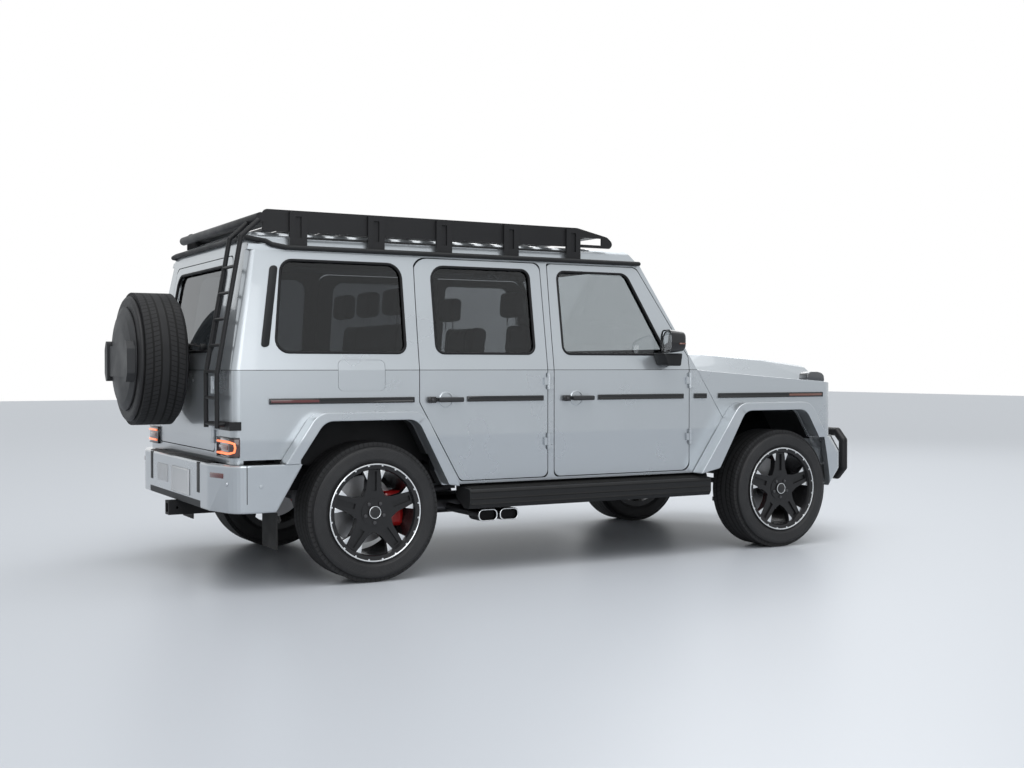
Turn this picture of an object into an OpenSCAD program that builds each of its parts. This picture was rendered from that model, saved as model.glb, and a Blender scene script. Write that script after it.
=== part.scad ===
// Off-road four-wheel-drive estate car with roof rack, rear ladder and brush guard, in millimetres.
// +X is forward, +Y is to the car's left, +Z is up. The origin is on the ground under the middle of the car.
// Inside the modules X is measured from the rear axle; place() moves the car over the origin.

/* [Chassis] */
// Distance between the axles
wheelbase = 2890; // [2850:10:2930]
// Distance between the middles of the left and right tyres
track = 1654; // [1640:2:1664]
// Height of the underside of the frame rails
rail_z = 480; // [478:1:484]
// Height of a frame rail
rail_h = 120; // [110:1:124]
// Distance of a rail's outer face from the middle
rail_y = 460; // [450:2:464]
// Width of a frame rail
rail_w = 80; // [60:5:90]
// Height of the rubber mounts between frame and floor
body_mount_h = 40; // [36:1:46]

/* [Wheels] */
// Radius of a tyre, as it stands loaded
tyre_r = 385; // [378:1:388]
// Width of a tyre
tyre_w = 275; // [255:1:279]
// Radius of a rim's outer lip
rim_r = 273; // [262:1:280]
// Radius of the spindles that carry the wheels
spindle_r = 34; // [30:1:38]
// Radius of a brake disc
disc_r = 190; // [175:1:194]
// Number of spokes in a wheel
spokes = 5; // [4:1:6]
// Radius of the steering pivot pins
king_r = 12; // [10:1:14]

/* [Body] */
// Half the width of the body at the doors
side_y = 880; // [872:1:886]
// Height of the belt line
belt_z = 1167; // [1160:1:1172]
// Inward lean of the upper sides, in mm for each mm of height
lean = 0.163; // [0.14:0.005:0.17]
// Forward lean of the upper rear, in mm for each mm of height
rear_lean = 0.18; // [0.15:0.01:0.19]
// Rearward slope of the windscreen, in mm for each mm of height
screen_slope = 0.572; // [0.56:0.002:0.58]
// Thickness of a door or side wall below the belt line
wall = 84; // [78:1:88]
// Thickness of the window frames
frame_t = 44; // [38:1:48]
// Thickness of the floor
floor_t = 25; // [20:1:30]
// Gap around a door
shut_gap = 5; // [5:0.5:7]
// Thickness of the side and rear glass
glass_t = 5; // [4:0.5:6]

/* [Doors] */
// Radius of a door's hinge pin
pin_r = 7; // [5:0.5:8]
// Radius of a hinge barrel
barrel_r = 13; // [11:0.5:14]
// Height of one hinge
hinge_h = 94; // [80:2:100]

/* [Spare wheel] */
// Height of the middle of the spare wheel
spare_z = 1231; // [1225:1:1240]
// Distance of the spare wheel to the left of the middle
spare_y = 135; // [125:1:145]

/* [Hidden] */
$fn = 48;
run_gap = 0.06;
seat_gap = 0.3;
skin_t = 18;
rebate = 10;
tail_x = -780;
sill_z = 512;
rail_top_z = 1815;
tail_t = 60;
drawn_wheelbase = 2890;
drawn_cowl_x = 2252;
front_shift = wheelbase - drawn_wheelbase;
cowl_x = drawn_cowl_x + front_shift;
guard_front_x = drawn_wheelbase + 905;
cover_rear_x = tail_x - 380;
spare_x = cover_rear_x + 197;
shift_x = (guard_front_x + front_shift + cover_rear_x) / 2;
hub_z = 385;
hub_y = track / 2;
king_y = hub_y - 122;
wheel_box_y = hub_y - tyre_w / 2 - 49.5;
bumper_top_z = 668;
floor_z = rail_z + rail_h + body_mount_h;

// Rounded outlines: each point is [x, y, radius], in anticlockwise order.
function unit(v) = v / norm(v);
function xy(p) = [p[0], p[1]];
function corner(a, b, c, r, n) =
    r <= 0 ? [b] :
    let (u = unit(a - b), w = unit(c - b), half = acos(u * w) / 2,
         m = b + unit(u + w) * r / sin(half), d = r / tan(half),
         s = b + u * d - m, e = b + w * d - m, sweep = acos(s * e / (r * r)),
         turn = s[0] * e[1] - s[1] * e[0] > 0 ? 1 : -1)
    [for (i = [0:n]) let (t = turn * sweep * i / n)
        m + [s[0] * cos(t) - s[1] * sin(t), s[0] * sin(t) + s[1] * cos(t)]];
function rounded(pts, n = 6) = let (k = len(pts))
    [for (i = [0:k - 1]) let (before = pts[(i + k - 1) % k], after = pts[(i + 1) % k])
        each corner(xy(before), xy(pts[i]), xy(after), pts[i][2], n)];
// The same outline moved inwards by d.
function normal(a, b) = let (u = unit(b - a)) [-u[1], u[0]];
function crossing(p, u, q, w) = p + u * ((q - p) * [w[1], -w[0]]) / (u * [w[1], -w[0]]);
function inset(pts, d) = let (k = len(pts))
    [for (i = [0:k - 1]) let (a = xy(pts[(i + k - 1) % k]), b = xy(pts[i]), c = xy(pts[(i + 1) % k]),
        p = crossing(b + normal(a, b) * d, b - a, b + normal(b, c) * d, c - b))
        [p[0], p[1], pts[i][2] > 0 ? max(pts[i][2] - d, 1) : 0]];
function sharper(pts, d) = [for (p = pts) [p[0], p[1], p[2] > d ? p[2] - d : p[2]]];
// The same outline with its mirror image behind it, as one closed outline.
function two_halves(pts) = concat(pts, [for (i = [len(pts) - 1:-1:0]) [pts[i][0], -pts[i][1], pts[i][2]]]);

module along_y(y0, y1) { translate([0, y1, 0]) rotate([90, 0, 0]) linear_extrude(y1 - y0) children(); }
module along_x(x0, x1) { translate([x0, 0, 0]) rotate([90, 0, 90]) linear_extrude(x1 - x0) children(); }
module along_z(z0, z1) { translate([0, 0, z0]) linear_extrude(z1 - z0) children(); }
module both() { children(); mirror([0, 1, 0]) children(); }
module box(a, b) { translate(a) cube(b - a); }
module rod(a, b, r) {
    v = b - a;
    translate(a) rotate([0, acos(v[2] / norm(v)), atan2(v[1], v[0])]) cylinder(r = r, h = norm(v));
}
module tube_line(pts, r) {
    for (i = [1:len(pts) - 1]) rod(pts[i - 1], pts[i], r);
    for (i = [1:len(pts) - 2]) translate(pts[i]) sphere(r = r + 0.3, $fn = 24);
}
module place() { translate([-shift_x, 0, tyre_r - hub_z]) children(); }
// A longer wheelbase moves the front of the car as a whole and stretches the cabin between the two arches.
module front() { translate([front_shift, 0, 0]) children(); }
cabin_start_x = 444;
cabin_length = 1767;
function along(x) = x + front_shift * min(max((x - cabin_start_x) / cabin_length, 0), 1);
function stretched(pts) = [for (p = pts) [along(p[0]), p[1], p[2]]];

// Surfaces of the body: half width, tail and windscreen line at a height.
function skin_y(z) = z < belt_z ? side_y : side_y - lean * (z - belt_z);
function tail_at(z) = z < belt_z ? tail_x : tail_x + rear_lean * (z - belt_z);
function screen_x(z) = cowl_x - screen_slope * (z - belt_z);
// The fender's upper edge, in the front's own frame.
function fender_z(x) = 1165 - 0.0752 * (x - drawn_cowl_x);

// Cross-sections of the right side: whole thickness, or the layer between two depths under the skin.
module side_section() {
    polygon([[-side_y, 400], [-side_y, belt_z], [-skin_y(rail_top_z), rail_top_z],
        [-skin_y(rail_top_z) + frame_t, rail_top_z], [-skin_y(belt_z + 30) + frame_t, belt_z + 30],
        [-side_y + wall, belt_z - 10], [-side_y + wall, 400]]);
}
module layer_section(d0, d1) {
    polygon([[-side_y + d0, 400], [-side_y + d0, belt_z], [-skin_y(rail_top_z) + d0, rail_top_z],
        [-skin_y(rail_top_z) + d1, rail_top_z], [-side_y + d1, belt_z], [-side_y + d1, 400]]);
}
// Cross-section of the space between the two sides, and of the whole body.
module cabin_section(g = 0) {
    half = [[side_y - wall - g, 400], [side_y - wall - g, belt_z - 10],
        [skin_y(belt_z + 30) - frame_t - g, belt_z + 30], [skin_y(rail_top_z) - frame_t - g, rail_top_z]];
    polygon(concat(half, [for (i = [3:-1:0]) [-half[i][0], half[i][1]]]));
}
module body_section() {
    polygon([[-side_y, 400], [side_y, 400], [side_y, belt_z], [skin_y(rail_top_z), rail_top_z],
        [-skin_y(rail_top_z), rail_top_z], [-side_y, belt_z]]);
}

// Side outlines, in X and Z.
door_top_z = rail_top_z - 9;
door_foot_z = sill_z + 20;
b_post_x = along(1141);
front_door = stretched([[1190, door_foot_z, 40], [2187, door_foot_z, 60], [2187, 1248, 0],
    [1846, door_top_z, 60],
    [1190, door_top_z, 35]]);
rear_door = stretched([[560, door_foot_z, 40], [1141, door_foot_z, 40], [1141, door_top_z, 50],
    [304, door_top_z, 90], [304, 985, 40]]);
front_window = stretched([[1262, 1262, 50], [2025, 1262, 30], [1766, 1763, 70], [1262, 1763, 50]]);
rear_window = stretched([[416, 1262, 50], [1064, 1262, 50], [1064, 1763, 50], [416, 1763, 80]]);
quarter_window = [[-540, 1262, 70], [225, 1262, 50], [225, 1765, 80], [-478, 1765, 70]];
fuel_lid = [[-186, 1053, 30], [90, 1053, 30], [90, 1222, 30], [-186, 1222, 30]];
rear_arch = [[-438, 690, 0], [444, sill_z - 3, 0], [245, 892, 90], [-300, 892, 90]];
flare_foot_z = bumper_top_z + seat_gap;
rear_flare = [[-525, flare_foot_z, 0], [-438, flare_foot_z, 0], [507, sill_z - 3, 0], [285, 939, 120],
    [-342, 939, 120]];
// The front ones, in the front's own frame; their front feet stand clear of the tyre.
front_foot_x = drawn_wheelbase + tyre_r - 85;
front_arch = [[2338, sill_z - 2, 0], [front_foot_x, 715, 0], [3075, 903, 90], [2567, 903, 90]];
front_flare = [[2211, sill_z - 2, 0], [front_foot_x, 715, 0], [front_foot_x + 75, 715, 0], [3118, 955, 120],
    [2524, 955, 120]];

hinge_out = 9;
front_hinge_x = along(2187) + shut_gap;
rear_hinge_x = b_post_x + shut_gap;
hinge_y = side_y + hinge_out;
hinge_zs = [695, 1053];
gate_x = tail_x - hinge_out;
gate_y = -560;
gate_zs = [770, 1040];
gate_edge = 632;

// The wheel arch as a cut: its outline and everything below its feet
module arch_cut(arch) {
    polygon(rounded(arch));
    polygon([[arch[0][0], 300], [arch[1][0], 300], xy(arch[1]), xy(arch[0])]);
}
module side_prism(outline) { along_y(-1000, -600) polygon(rounded(outline)); }
module tail_prism(outline) { along_x(-900, -500) polygon(rounded(outline)); }

// Hinges stand on their own axis: the fixed leaf lies along +X and the moving leaf along -X.
// The skin is on the +Y side.
module hinge_room() { translate([0, 0, -3]) cylinder(r = barrel_r + 3, h = hinge_h + 6); }
module hinge_fixed() {
    cylinder(r = pin_r, h = hinge_h);
    for (k = [0, hinge_h * 3 / 4]) translate([0, 0, k]) {
        cylinder(r = barrel_r, h = hinge_h / 4);
        translate([0, -4, 0]) cube([32, 4 + hinge_out + 4, hinge_h / 4]);
    }
}
module hinge_moving() {
    difference() {
        translate([0, 0, hinge_h / 4 + 1]) union() {
            cylinder(r = barrel_r, h = hinge_h / 2 - 2);
            translate([-32, -4, 0]) cube([32, 4 + hinge_out + 4, hinge_h / 2 - 2]);
        }
        cylinder(r = pin_r + run_gap, h = hinge_h);
    }
}
module at_side_hinges(x) { for (z = hinge_zs) translate([x, -hinge_y, z]) children(); }
module at_gate_hinges() { for (z = gate_zs) translate([gate_x, gate_y, z]) rotate([0, 0, -90]) children(); }

// Everything inside the sweep of a door's free edge about its hinge.
module swing(x, y, reach) { translate([x, y, 400]) cylinder(r = reach, h = 1500, $fn = 96); }

// Body sides
module side_aperture(outline, hinge_x, free_x) {
    intersection() {
        side_prism(sharper(inset(outline, -shut_gap), 15));
        swing(hinge_x, -hinge_y, hinge_x - free_x + shut_gap);
    }
}
module side_outline() {
    difference() {
        polygon([[tail_x + tail_t, 690], [400, 690], [400, sill_z], [cowl_x + 86, sill_z],
            [cowl_x + 248, 790],
            [cowl_x, belt_z], [screen_x(rail_top_z), rail_top_z], [tail_at(rail_top_z) + tail_t, rail_top_z],
            [tail_x + tail_t, belt_z]]);
        arch_cut(rear_arch);
    }
}
module body_side() {
    difference() {
        intersection() {
            along_x(-900, cowl_x + 348) side_section();
            along_y(-1000, -600) side_outline();
        }
        side_aperture(front_door, front_hinge_x, front_door[0][0]);
        side_aperture(rear_door, rear_hinge_x, rear_door[3][0]);
        side_prism(quarter_window);
        intersection() {
            side_prism(inset(fuel_lid, -2));
            along_x(-400, 400) layer_section(-1, 8);
        }
        at_side_hinges(front_hinge_x) hinge_room();
        at_side_hinges(rear_hinge_x) hinge_room();
    }
    at_side_hinges(front_hinge_x) hinge_fixed();
    at_side_hinges(rear_hinge_x) hinge_fixed();
}
module body_sides() { color("LightSteelBlue") both() body_side(); }
module fuel_flap() {
    color("LightSteelBlue") intersection() {
        side_prism(fuel_lid);
        along_x(-400, 400) layer_section(0, 8);
    }
}

// Doors: an outer skin with the whole outline and a body that is smaller all round
module door(outline, window, hinge_x, free_x) {
    color("LightSteelBlue") {
        difference() {
            intersection() {
                union() {
                    intersection() {
                        along_x(-900, cowl_x + 348) side_section();
                        side_prism(inset(outline, rebate));
                    }
                    intersection() {
                        along_x(-900, cowl_x + 348) layer_section(0, skin_t);
                        side_prism(outline);
                    }
                }
                swing(hinge_x, -hinge_y, hinge_x - free_x);
            }
            side_prism(window);
            at_side_hinges(hinge_x) hinge_room();
        }
        at_side_hinges(hinge_x) hinge_moving();
    }
}
module door_front() { door(front_door, front_window, front_hinge_x, front_door[0][0]); }
module door_rear() { door(rear_door, rear_window, rear_hinge_x, rear_door[3][0]); }
module side_glass(window) {
    color([0.2, 0.22, 0.24, 0.6]) intersection() {
        along_x(-900, cowl_x + 348) layer_section(12, 12 + glass_t);
        side_prism(window);
    }
}
// The mirror's housing tapers forward in plan and has a broad arm below it.
mirror_face = [[-80, -98, 45], [66, -104, 45], [78, 60, 50], [50, 92, 45], [-60, 92, 50]];
mirror_plan = [[-72, -105, 0], [20, -105, 50], [84, -50, 45], [88, 60, 30], [-20, 105, 60], [-72, 105, 0]];
module mirror_housing() {
    color("#1a1a1c") front() {
        translate([1985, -995, 1300]) rotate([0, 0, 8]) intersection() {
            along_x(-72, 90) polygon(rounded(mirror_face));
            along_z(-150, 150) polygon(rounded(mirror_plan));
        }
        along_x(1955, 2040) polygon([[-960, 1188], [-skin_y(1188), 1188], [-skin_y(1248), 1248],
            [-960, 1248]]);
    }
}

// Rear panel and tailgate
gate_outline = [[gate_y + shut_gap, 725, 30], [gate_edge, 725, 30], [gate_edge, 1795, 60],
    [gate_y + shut_gap, 1795, 60]];
gate_window = [[-475, 1270, 50], [555, 1270, 50], [545, 1745, 70], [-465, 1745, 70]];
lamp_y = 637;
module tail_slab(t, z0) {
    polygon([[tail_x, z0], [tail_x + t, z0], [tail_x + t, belt_z], [tail_at(rail_top_z) + t, rail_top_z],
        [tail_at(rail_top_z), rail_top_z], [tail_x, belt_z]]);
}
// What rounds the right rear corner, upright below the belt line and leaning both ways above it.
rear_corner_r = 50;
corner_in = rear_corner_r - 0.4;
corner_step = [rear_lean, lean, 1];
module rear_corner_cut() {
    difference() {
        box([tail_x - 20, -side_y - 20, 600], [tail_x + corner_in, -side_y + corner_in, belt_z]);
        translate([tail_x + corner_in, -side_y + corner_in, 590]) cylinder(r = rear_corner_r, h = 600);
    }
    dx = corner_in * sqrt(1 + rear_lean * rear_lean);
    dy = corner_in * sqrt(1 + lean * lean);
    foot = [tail_x + dx, -side_y + dy, belt_z];
    difference() {
        intersection() {
            along_y(-1000, -600) polygon([[tail_x - 20, belt_z], [tail_x + dx, belt_z],
                [tail_at(rail_top_z) + dx, rail_top_z + 1], [tail_at(rail_top_z) - 20, rail_top_z + 1]]);
            along_x(-900, -500) polygon([[-side_y - 20, belt_z], [-side_y + dy, belt_z],
                [-skin_y(rail_top_z) + dy, rail_top_z + 1], [-skin_y(rail_top_z) - 20, rail_top_z + 1]]);
        }
        rod(foot - 30 * corner_step, foot + (rail_top_z - belt_z + 30) * corner_step, rear_corner_r);
    }
}
module rear_panel() {
    color("LightSteelBlue") {
        difference() {
            intersection() {
                along_y(-1000, 1000) tail_slab(tail_t, bumper_top_z + 2);
                along_x(-900, -500) body_section();
            }
            intersection() {
                tail_prism(sharper(inset(gate_outline, -shut_gap), 15));
                swing(gate_x, gate_y, gate_edge - gate_y + shut_gap);
            }
            at_gate_hinges() hinge_room();
            both() box([tail_x - 10, lamp_y, 704], [tail_x + 38, side_y + 10, 812]);
            both() rear_corner_cut();
        }
        at_gate_hinges() hinge_fixed();
    }
}
module tailgate() {
    color("LightSteelBlue") {
        difference() {
            intersection() {
                along_y(-1000, 1000) tail_slab(tail_t - 2, 655);
                tail_prism(gate_outline);
                swing(gate_x, gate_y, gate_edge - gate_y);
            }
            tail_prism(gate_window);
            at_gate_hinges() hinge_room();
        }
        at_gate_hinges() hinge_moving();
    }
}
module glass_tailgate() {
    color([0.2, 0.22, 0.24, 0.6]) intersection() {
        along_y(-1000, 1000) difference() {
            tail_slab(15 + glass_t, 655);
            translate([-glass_t, 0]) tail_slab(15 + glass_t, 655);
        }
        tail_prism(gate_window);
    }
}
module tail_lamps() {
    color("DarkRed") both() along_z(704 + seat_gap, 812 - seat_gap) polygon(rounded([
        [tail_x - 8, -side_y - 8, 40], [tail_x + 38 - seat_gap, -side_y - 8, 0],
        [tail_x + 38 - seat_gap, -lamp_y - seat_gap, 0], [tail_x - 8, -lamp_y - seat_gap, 12]]));
}
module spare_tyre() { translate([spare_x, spare_y, spare_z]) rotate([0, 0, 90]) tyre(); }
// The spare wheel's disc, its mount on the rear door, and the dished cover with its clamp.
module spare_cover() {
    dish_r = rim_r + 27;
    back = spare_x - tyre_w / 2 - 4;
    color("#202124") translate([0, spare_y, spare_z]) {
        rotate([0, 90, 0]) {
            translate([0, 0, spare_x - 100]) cylinder(r = rim_r - 12 - seat_gap, h = 190);
            translate([0, 0, spare_x + 89]) cylinder(r = 80, h = tail_x - spare_x - 89);
            rotate_extrude($fn = 72) polygon([[0, spare_x - 99], [rim_r - 30, spare_x - 99],
                [rim_r - 30, back],
                [dish_r, back], [dish_r, back - 8], [dish_r - 40, back - 25], [dish_r - 120, back - 36],
                [dish_r - 200, back - 41], [0, back - 42]]);
        }
        translate([0, 0, -13]) {
            along_x(cover_rear_x + 12, back - 20)
                polygon(rounded(two_halves([[-250, -90, 60], [250, -90, 60]])));
            both() along_x(cover_rear_x, back - 10) polygon(rounded([[-295, -70, 25], [-295, 70, 25],
                [-262, 118, 20], [-225, 118, 20], [-225, -118, 20], [-262, -118, 20]]));
        }
    }
}

// Roof
ledge_z = 1845;
roof_front_x = screen_x(rail_top_z);
module roof_section(d) {
    half = [[774, rail_top_z, 0], [774, ledge_z, 0], [745, ledge_z, 0], [728, 1915, 45]];
    inner = [[728, rail_top_z - 1, 0], [728, 1850, 0], [700, 1892, 40]];
    pts = d > 0 ? inner : half;
    n = len(pts) - 1;
    polygon(rounded(concat(pts, [[0, 1962 - d, 2500]],
        [for (i = [n:-1:0]) [-pts[i][0], pts[i][1], pts[i][2]]])));
}
module roof_panel() {
    color("LightSteelBlue") difference() {
        intersection() {
            along_x(-720, roof_front_x + 20) roof_section(0);
            along_y(-1000, 1000) polygon(rounded([[tail_at(rail_top_z), rail_top_z, 0],
                [roof_front_x, rail_top_z, 0], [roof_front_x - 8, 1840, 0], [roof_front_x - 81, 1915, 90],
                [roof_front_x - 381, 1965, 600], [-520, 1965, 200], [-640, 1905, 40]]));
        }
        intersection() {
            along_x(-720, roof_front_x + 20) roof_section(25);
            along_y(-1000, 1000) polygon([[-590, 1800], [roof_front_x - 66, 1800], [roof_front_x - 66, 1840],
                [roof_front_x - 121, 1890], [roof_front_x - 381, 1940], [-500, 1940], [-590, 1890]]);
        }
    }
}
// The dark rubber gutter runs along both sides, rises at the rear corners and crosses above the rear door.
// It is a chain of hulls, each from one bead to the next.
gutter_r = 14;
gutter_y = 774 + gutter_r + seat_gap;
gutter_run = [[roof_front_x - 20, -gutter_y, 1832], [-450, -gutter_y, 1832], [-530, -gutter_y, 1844],
    [-565, -gutter_y, 1861], [-592, -760, 1868], [-663, -757, 1879], [-660.5, -690, 1886]];
module gutters() {
    n = len(gutter_run) - 1;
    left = [for (i = [n:-1:0]) [gutter_run[i][0], -gutter_run[i][1], gutter_run[i][2]]];
    run = concat(gutter_run, left);
    color("#1a1b1d") for (i = [1:len(run) - 1])
        hull() for (bead = [run[i - 1], run[i]]) translate(bead) sphere(r = gutter_r, $fn = 12);
}

// Cowl, with the bonnet's hinge knuckles
fire_x = cowl_x - 52;
bonnet_axis = [drawn_cowl_x + 10, 1270];
bonnet_knuckle_y = 520;
module at_bonnet_hinges() {
    both() translate([bonnet_axis[0], -bonnet_knuckle_y, bonnet_axis[1]]) rotate([90, 0, 0]) children();
}
module cowl_panel() {
    color("LightSteelBlue") {
        intersection() {
            along_y(-1000, 1000) polygon([[fire_x, floor_z], [fire_x + 40, floor_z], [fire_x + 40, belt_z],
                [screen_x(1292), 1292], [fire_x - 80, 1292], [fire_x - 80, 1275], [fire_x, 1240]]);
            along_x(fire_x - 200, fire_x + 200) cabin_section();
        }
        along_y(-590, 590) polygon([[fire_x + 5, 1180], [fire_x + 34, 1180], [fire_x + 34, 1285],
            [screen_x(1292) - 2, 1292], [screen_x(1292) - 20, 1275], [fire_x + 3, 1240]]);
        front() at_bonnet_hinges() {
            cylinder(r = 6, h = 60);
            for (k = [0, 45]) translate([0, 0, k]) {
                cylinder(r = 12, h = 15);
                translate([-36, -30, 0]) cube([36, 24, 15]);
            }
        }
    }
}
// One cross-section of the bonnet, or of its inside where d is the metal's thickness.
module bonnet_slice(x, z_top, d) {
    side_z = fender_z(x);
    half = [[688 - d, side_z - 22 - d], [688 - d, side_z + 6 - d], [600 - d, z_top - 16 - d],
        [560 - d, z_top - 2 - d]];
    along_x(x, x + 1) polygon(concat(half, [[0, z_top + 6 - d]],
        [for (i = [3:-1:0]) [-half[i][0], half[i][1]]]));
}
module bonnet_part(slices, d) { hull() for (c = slices) bonnet_slice(c[0], c[1], d); }
bonnet_mid = [3000, 1244];
module bonnet() {
    color("LightSteelBlue") front() {
        difference() {
            union() {
                bonnet_part([[2246, 1286], [2500, 1280], bonnet_mid], 0);
                bonnet_part([bonnet_mid, [3400, 1196], [3455, 1150]], 0);
            }
            bonnet_part([[2200, 1270], [2500, 1280], bonnet_mid], 20);
            bonnet_part([bonnet_mid, [3390, 1190], [3436, 1160]], 20);
            box([2200, -700, 900], [3435, 700, 1054]);
            at_bonnet_hinges() translate([0, 0, -3]) cylinder(r = 15, h = 66);
            both() box([2200, -bonnet_knuckle_y - 63, 1230], [2262, -bonnet_knuckle_y + 3, 1300]);
        }
        difference() {
            at_bonnet_hinges() union() {
                translate([0, 0, 16]) cylinder(r = 12, h = 28);
                translate([0, -4, 16]) cube([30, 12, 28]);
            }
            at_bonnet_hinges() translate([0, 0, -3]) cylinder(r = 6 + run_gap, h = 66);
        }
    }
}

// Front
fender_t = 22;
module front_fender() {
    difference() {
        intersection() {
            along_y(-1000, -600) polygon([[2508, 785], [3100, 715], [3440, 715], [3440, fender_z(3440)],
                [2256, fender_z(2256)]]);
            along_z(600, 1300) polygon(rounded([[2200, -side_y, 0], [3432, -side_y, 120],
                [3432, -694, 0], [2200, -694, 0]]));
        }
        intersection() {
            along_y(-1000, -500) polygon([[2100, 500], [3500, 500], [3500, fender_z(3500) - 22],
                [2100, fender_z(2100) - 22]]);
            along_z(500, 1400) polygon(rounded([[2100, -side_y + fender_t, 0], [3410, -side_y + fender_t, 98],
                [3410, -500, 0], [2100, -500, 0]]));
        }
        along_y(-1000, -600) arch_cut(front_arch);
    }
    box([2240, -780, 1000], [2262, -694, 1100]);
    box([2240, -716, 1090], [2500, -694, 1130]);
}
module front_fenders() { color("LightSteelBlue") front() both() front_fender(); }
module flare(arch, outer) {
    difference() {
        along_y(-985, -side_y) polygon(rounded(outer));
        along_y(-990, -side_y + 1) arch_cut(arch);
    }
}
module arch_flares() {
    color("LightSteelBlue") both() {
        flare(rear_arch, rear_flare);
        front() flare(front_arch, front_flare);
    }
}
// Black liners close the front arches towards the engine bay.
module arch_liners() {
    color("#17181a") front() both() difference() {
        along_y(-side_y + fender_t + seat_gap, -500) difference() {
            polygon(rounded(inset(front_arch, -19)));
            arch_cut(inset(front_arch, -15));
        }
        box([2200, -side_y, 400], [2512, -side_y + wall + seat_gap, 1000]);
        box([2200, -660, 400], [2480, -499, 1070]);
    }
}
module grille_panel() {
    color("#26282b") front() {
        difference() {
            box([3410, -694, 715], [3432, 694, 1046]);
            both() translate([3400, -585, 925]) rotate([0, 90, 0]) cylinder(r = 92 + seat_gap, h = 40);
            box([3400, -430, 770], [3440, 430, 1020]);
        }
        difference() {
            box([3432, -450, 750], [3475, 450, 1040]);
            box([3430, -425, 775], [3480, 425, 1015]);
        }
        for (k = [1:4]) box([3420, -440, 767 + k * 50], [3470, 440, 779 + k * 50]);
    }
}
module front_lamps() {
    color("WhiteSmoke") front() both() {
        translate([3405, -585, 925]) rotate([0, 90, 0]) cylinder(r = 92, h = 35);
        along_y(-840, -760) polygon([[3209, fender_z(3209) + seat_gap], [3361, fender_z(3361) + seat_gap],
            [3352, 1125], [3300, 1148], [3225, 1148]]);
    }
}
// Plan of the right half of the front bumper, outside and hollow. It draws back towards its top and foot,
// and its rear ends lean to clear the steered tyre.
bumper_half = [[3100, -962, 0], [3395, -945, 60], [3590, -745, 150], [3700, -420, 250]];
bumper_inner = [[3100, -915, 0], [3372, -902, 40], [3548, -722, 110], [3650, -400, 200]];
front_bumper_top = 715 - seat_gap;
module bumper_shape(half, z0, z1) {
    hull() for (c = [[z0, -90], [500, 0], [610, 0], [z1, -75]])
        translate([c[1], 0, 0]) along_z(c[0], c[0] + 0.5) polygon(rounded(two_halves(half), 4));
}
module front_bumper() {
    tyre_end = drawn_wheelbase + tyre_r;
    color("LightSteelBlue") front() difference() {
        intersection() {
            bumper_shape(bumper_half, 385, front_bumper_top - 0.5);
            box([3000, -1000, 385], [3800, 1000, front_bumper_top]);
        }
        bumper_shape(bumper_inner, 360, front_bumper_top + 20);
        along_y(-1000, 1000) polygon([[3000, 340], [tyre_end + 59, 340], [tyre_end - 13, 740], [3000, 740]]);
    }
}
module brush_guard() {
    r = 30;
    x = guard_front_x - r;
    color("#151618") front() {
        both() {
            tube_line([[x, 0, 720], [x, -540, 720], [x, -600, 660], [x, -600, 470], [x, -540, 410],
                [x, 0, 410]], r);
            rod([x, -300, 410], [x, -300, 720], 24);
            box([3700, -325, 500], [x, -275, 560]);
        }
    }
}
// Plan of the right half of the rear bumper, outside and hollow.
// Its ends lean forward up to the flares' feet.
tail_bumper = [[-860, -700, 200], [-790, -962, 90], [-400, -965, 0]];
tail_hollow = [[-805, -680, 160], [-745, -905, 60], [-300, -905, 0]];
function reversed(pts) = [for (i = [len(pts) - 1:-1:0]) pts[i]];
module rear_bumper() {
    color("LightSteelBlue") intersection() {
        along_z(417, bumper_top_z) difference() {
            polygon(rounded(two_halves(reversed(tail_bumper))));
            polygon(rounded(two_halves(reversed(tail_hollow))));
        }
        along_y(-1000, 1000) polygon([[-900, 400], [-575, 400], [-558, 429], [-417, bumper_top_z + 1],
            [-900, bumper_top_z + 1]]);
    }
}

// Underbody
// The frame's rails carry the cross members between them and a dipped brace below, each seated on its own.
cross_z = rail_z + 40;
hitch_x = -700;
brace_z = rail_z - seat_gap;
brace = [[-rail_y, brace_z], [-rail_y, 450], [-200, 350], [200, 350], [rail_y, 450], [rail_y, brace_z],
    [rail_y - rail_w, brace_z], [200, 385], [-200, 385], [-rail_y + rail_w, brace_z]];
module chassis_frame() {
    color("#202224") {
        both() {
            box([-805, -rail_y, rail_z], [wheelbase + 700, -rail_y + rail_w, rail_z + rail_h]);
            for (x = [-600, 560, 1300, 2100]) translate([along(x), -rail_y + rail_w / 2, rail_z + rail_h])
                cylinder(r = 34, h = body_mount_h);
            box([-60, -600, rail_z + rail_h], [60, -rail_y + 60, rail_z + rail_h + 18]);
        }
        for (x = [hitch_x, along(1000), wheelbase + 230])
            box([x, -rail_y + rail_w + seat_gap, cross_z],
                [x + 80, rail_y - rail_w - seat_gap, cross_z + 60]);
        front() along_x(1880, 1960) polygon(brace);
    }
}
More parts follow.
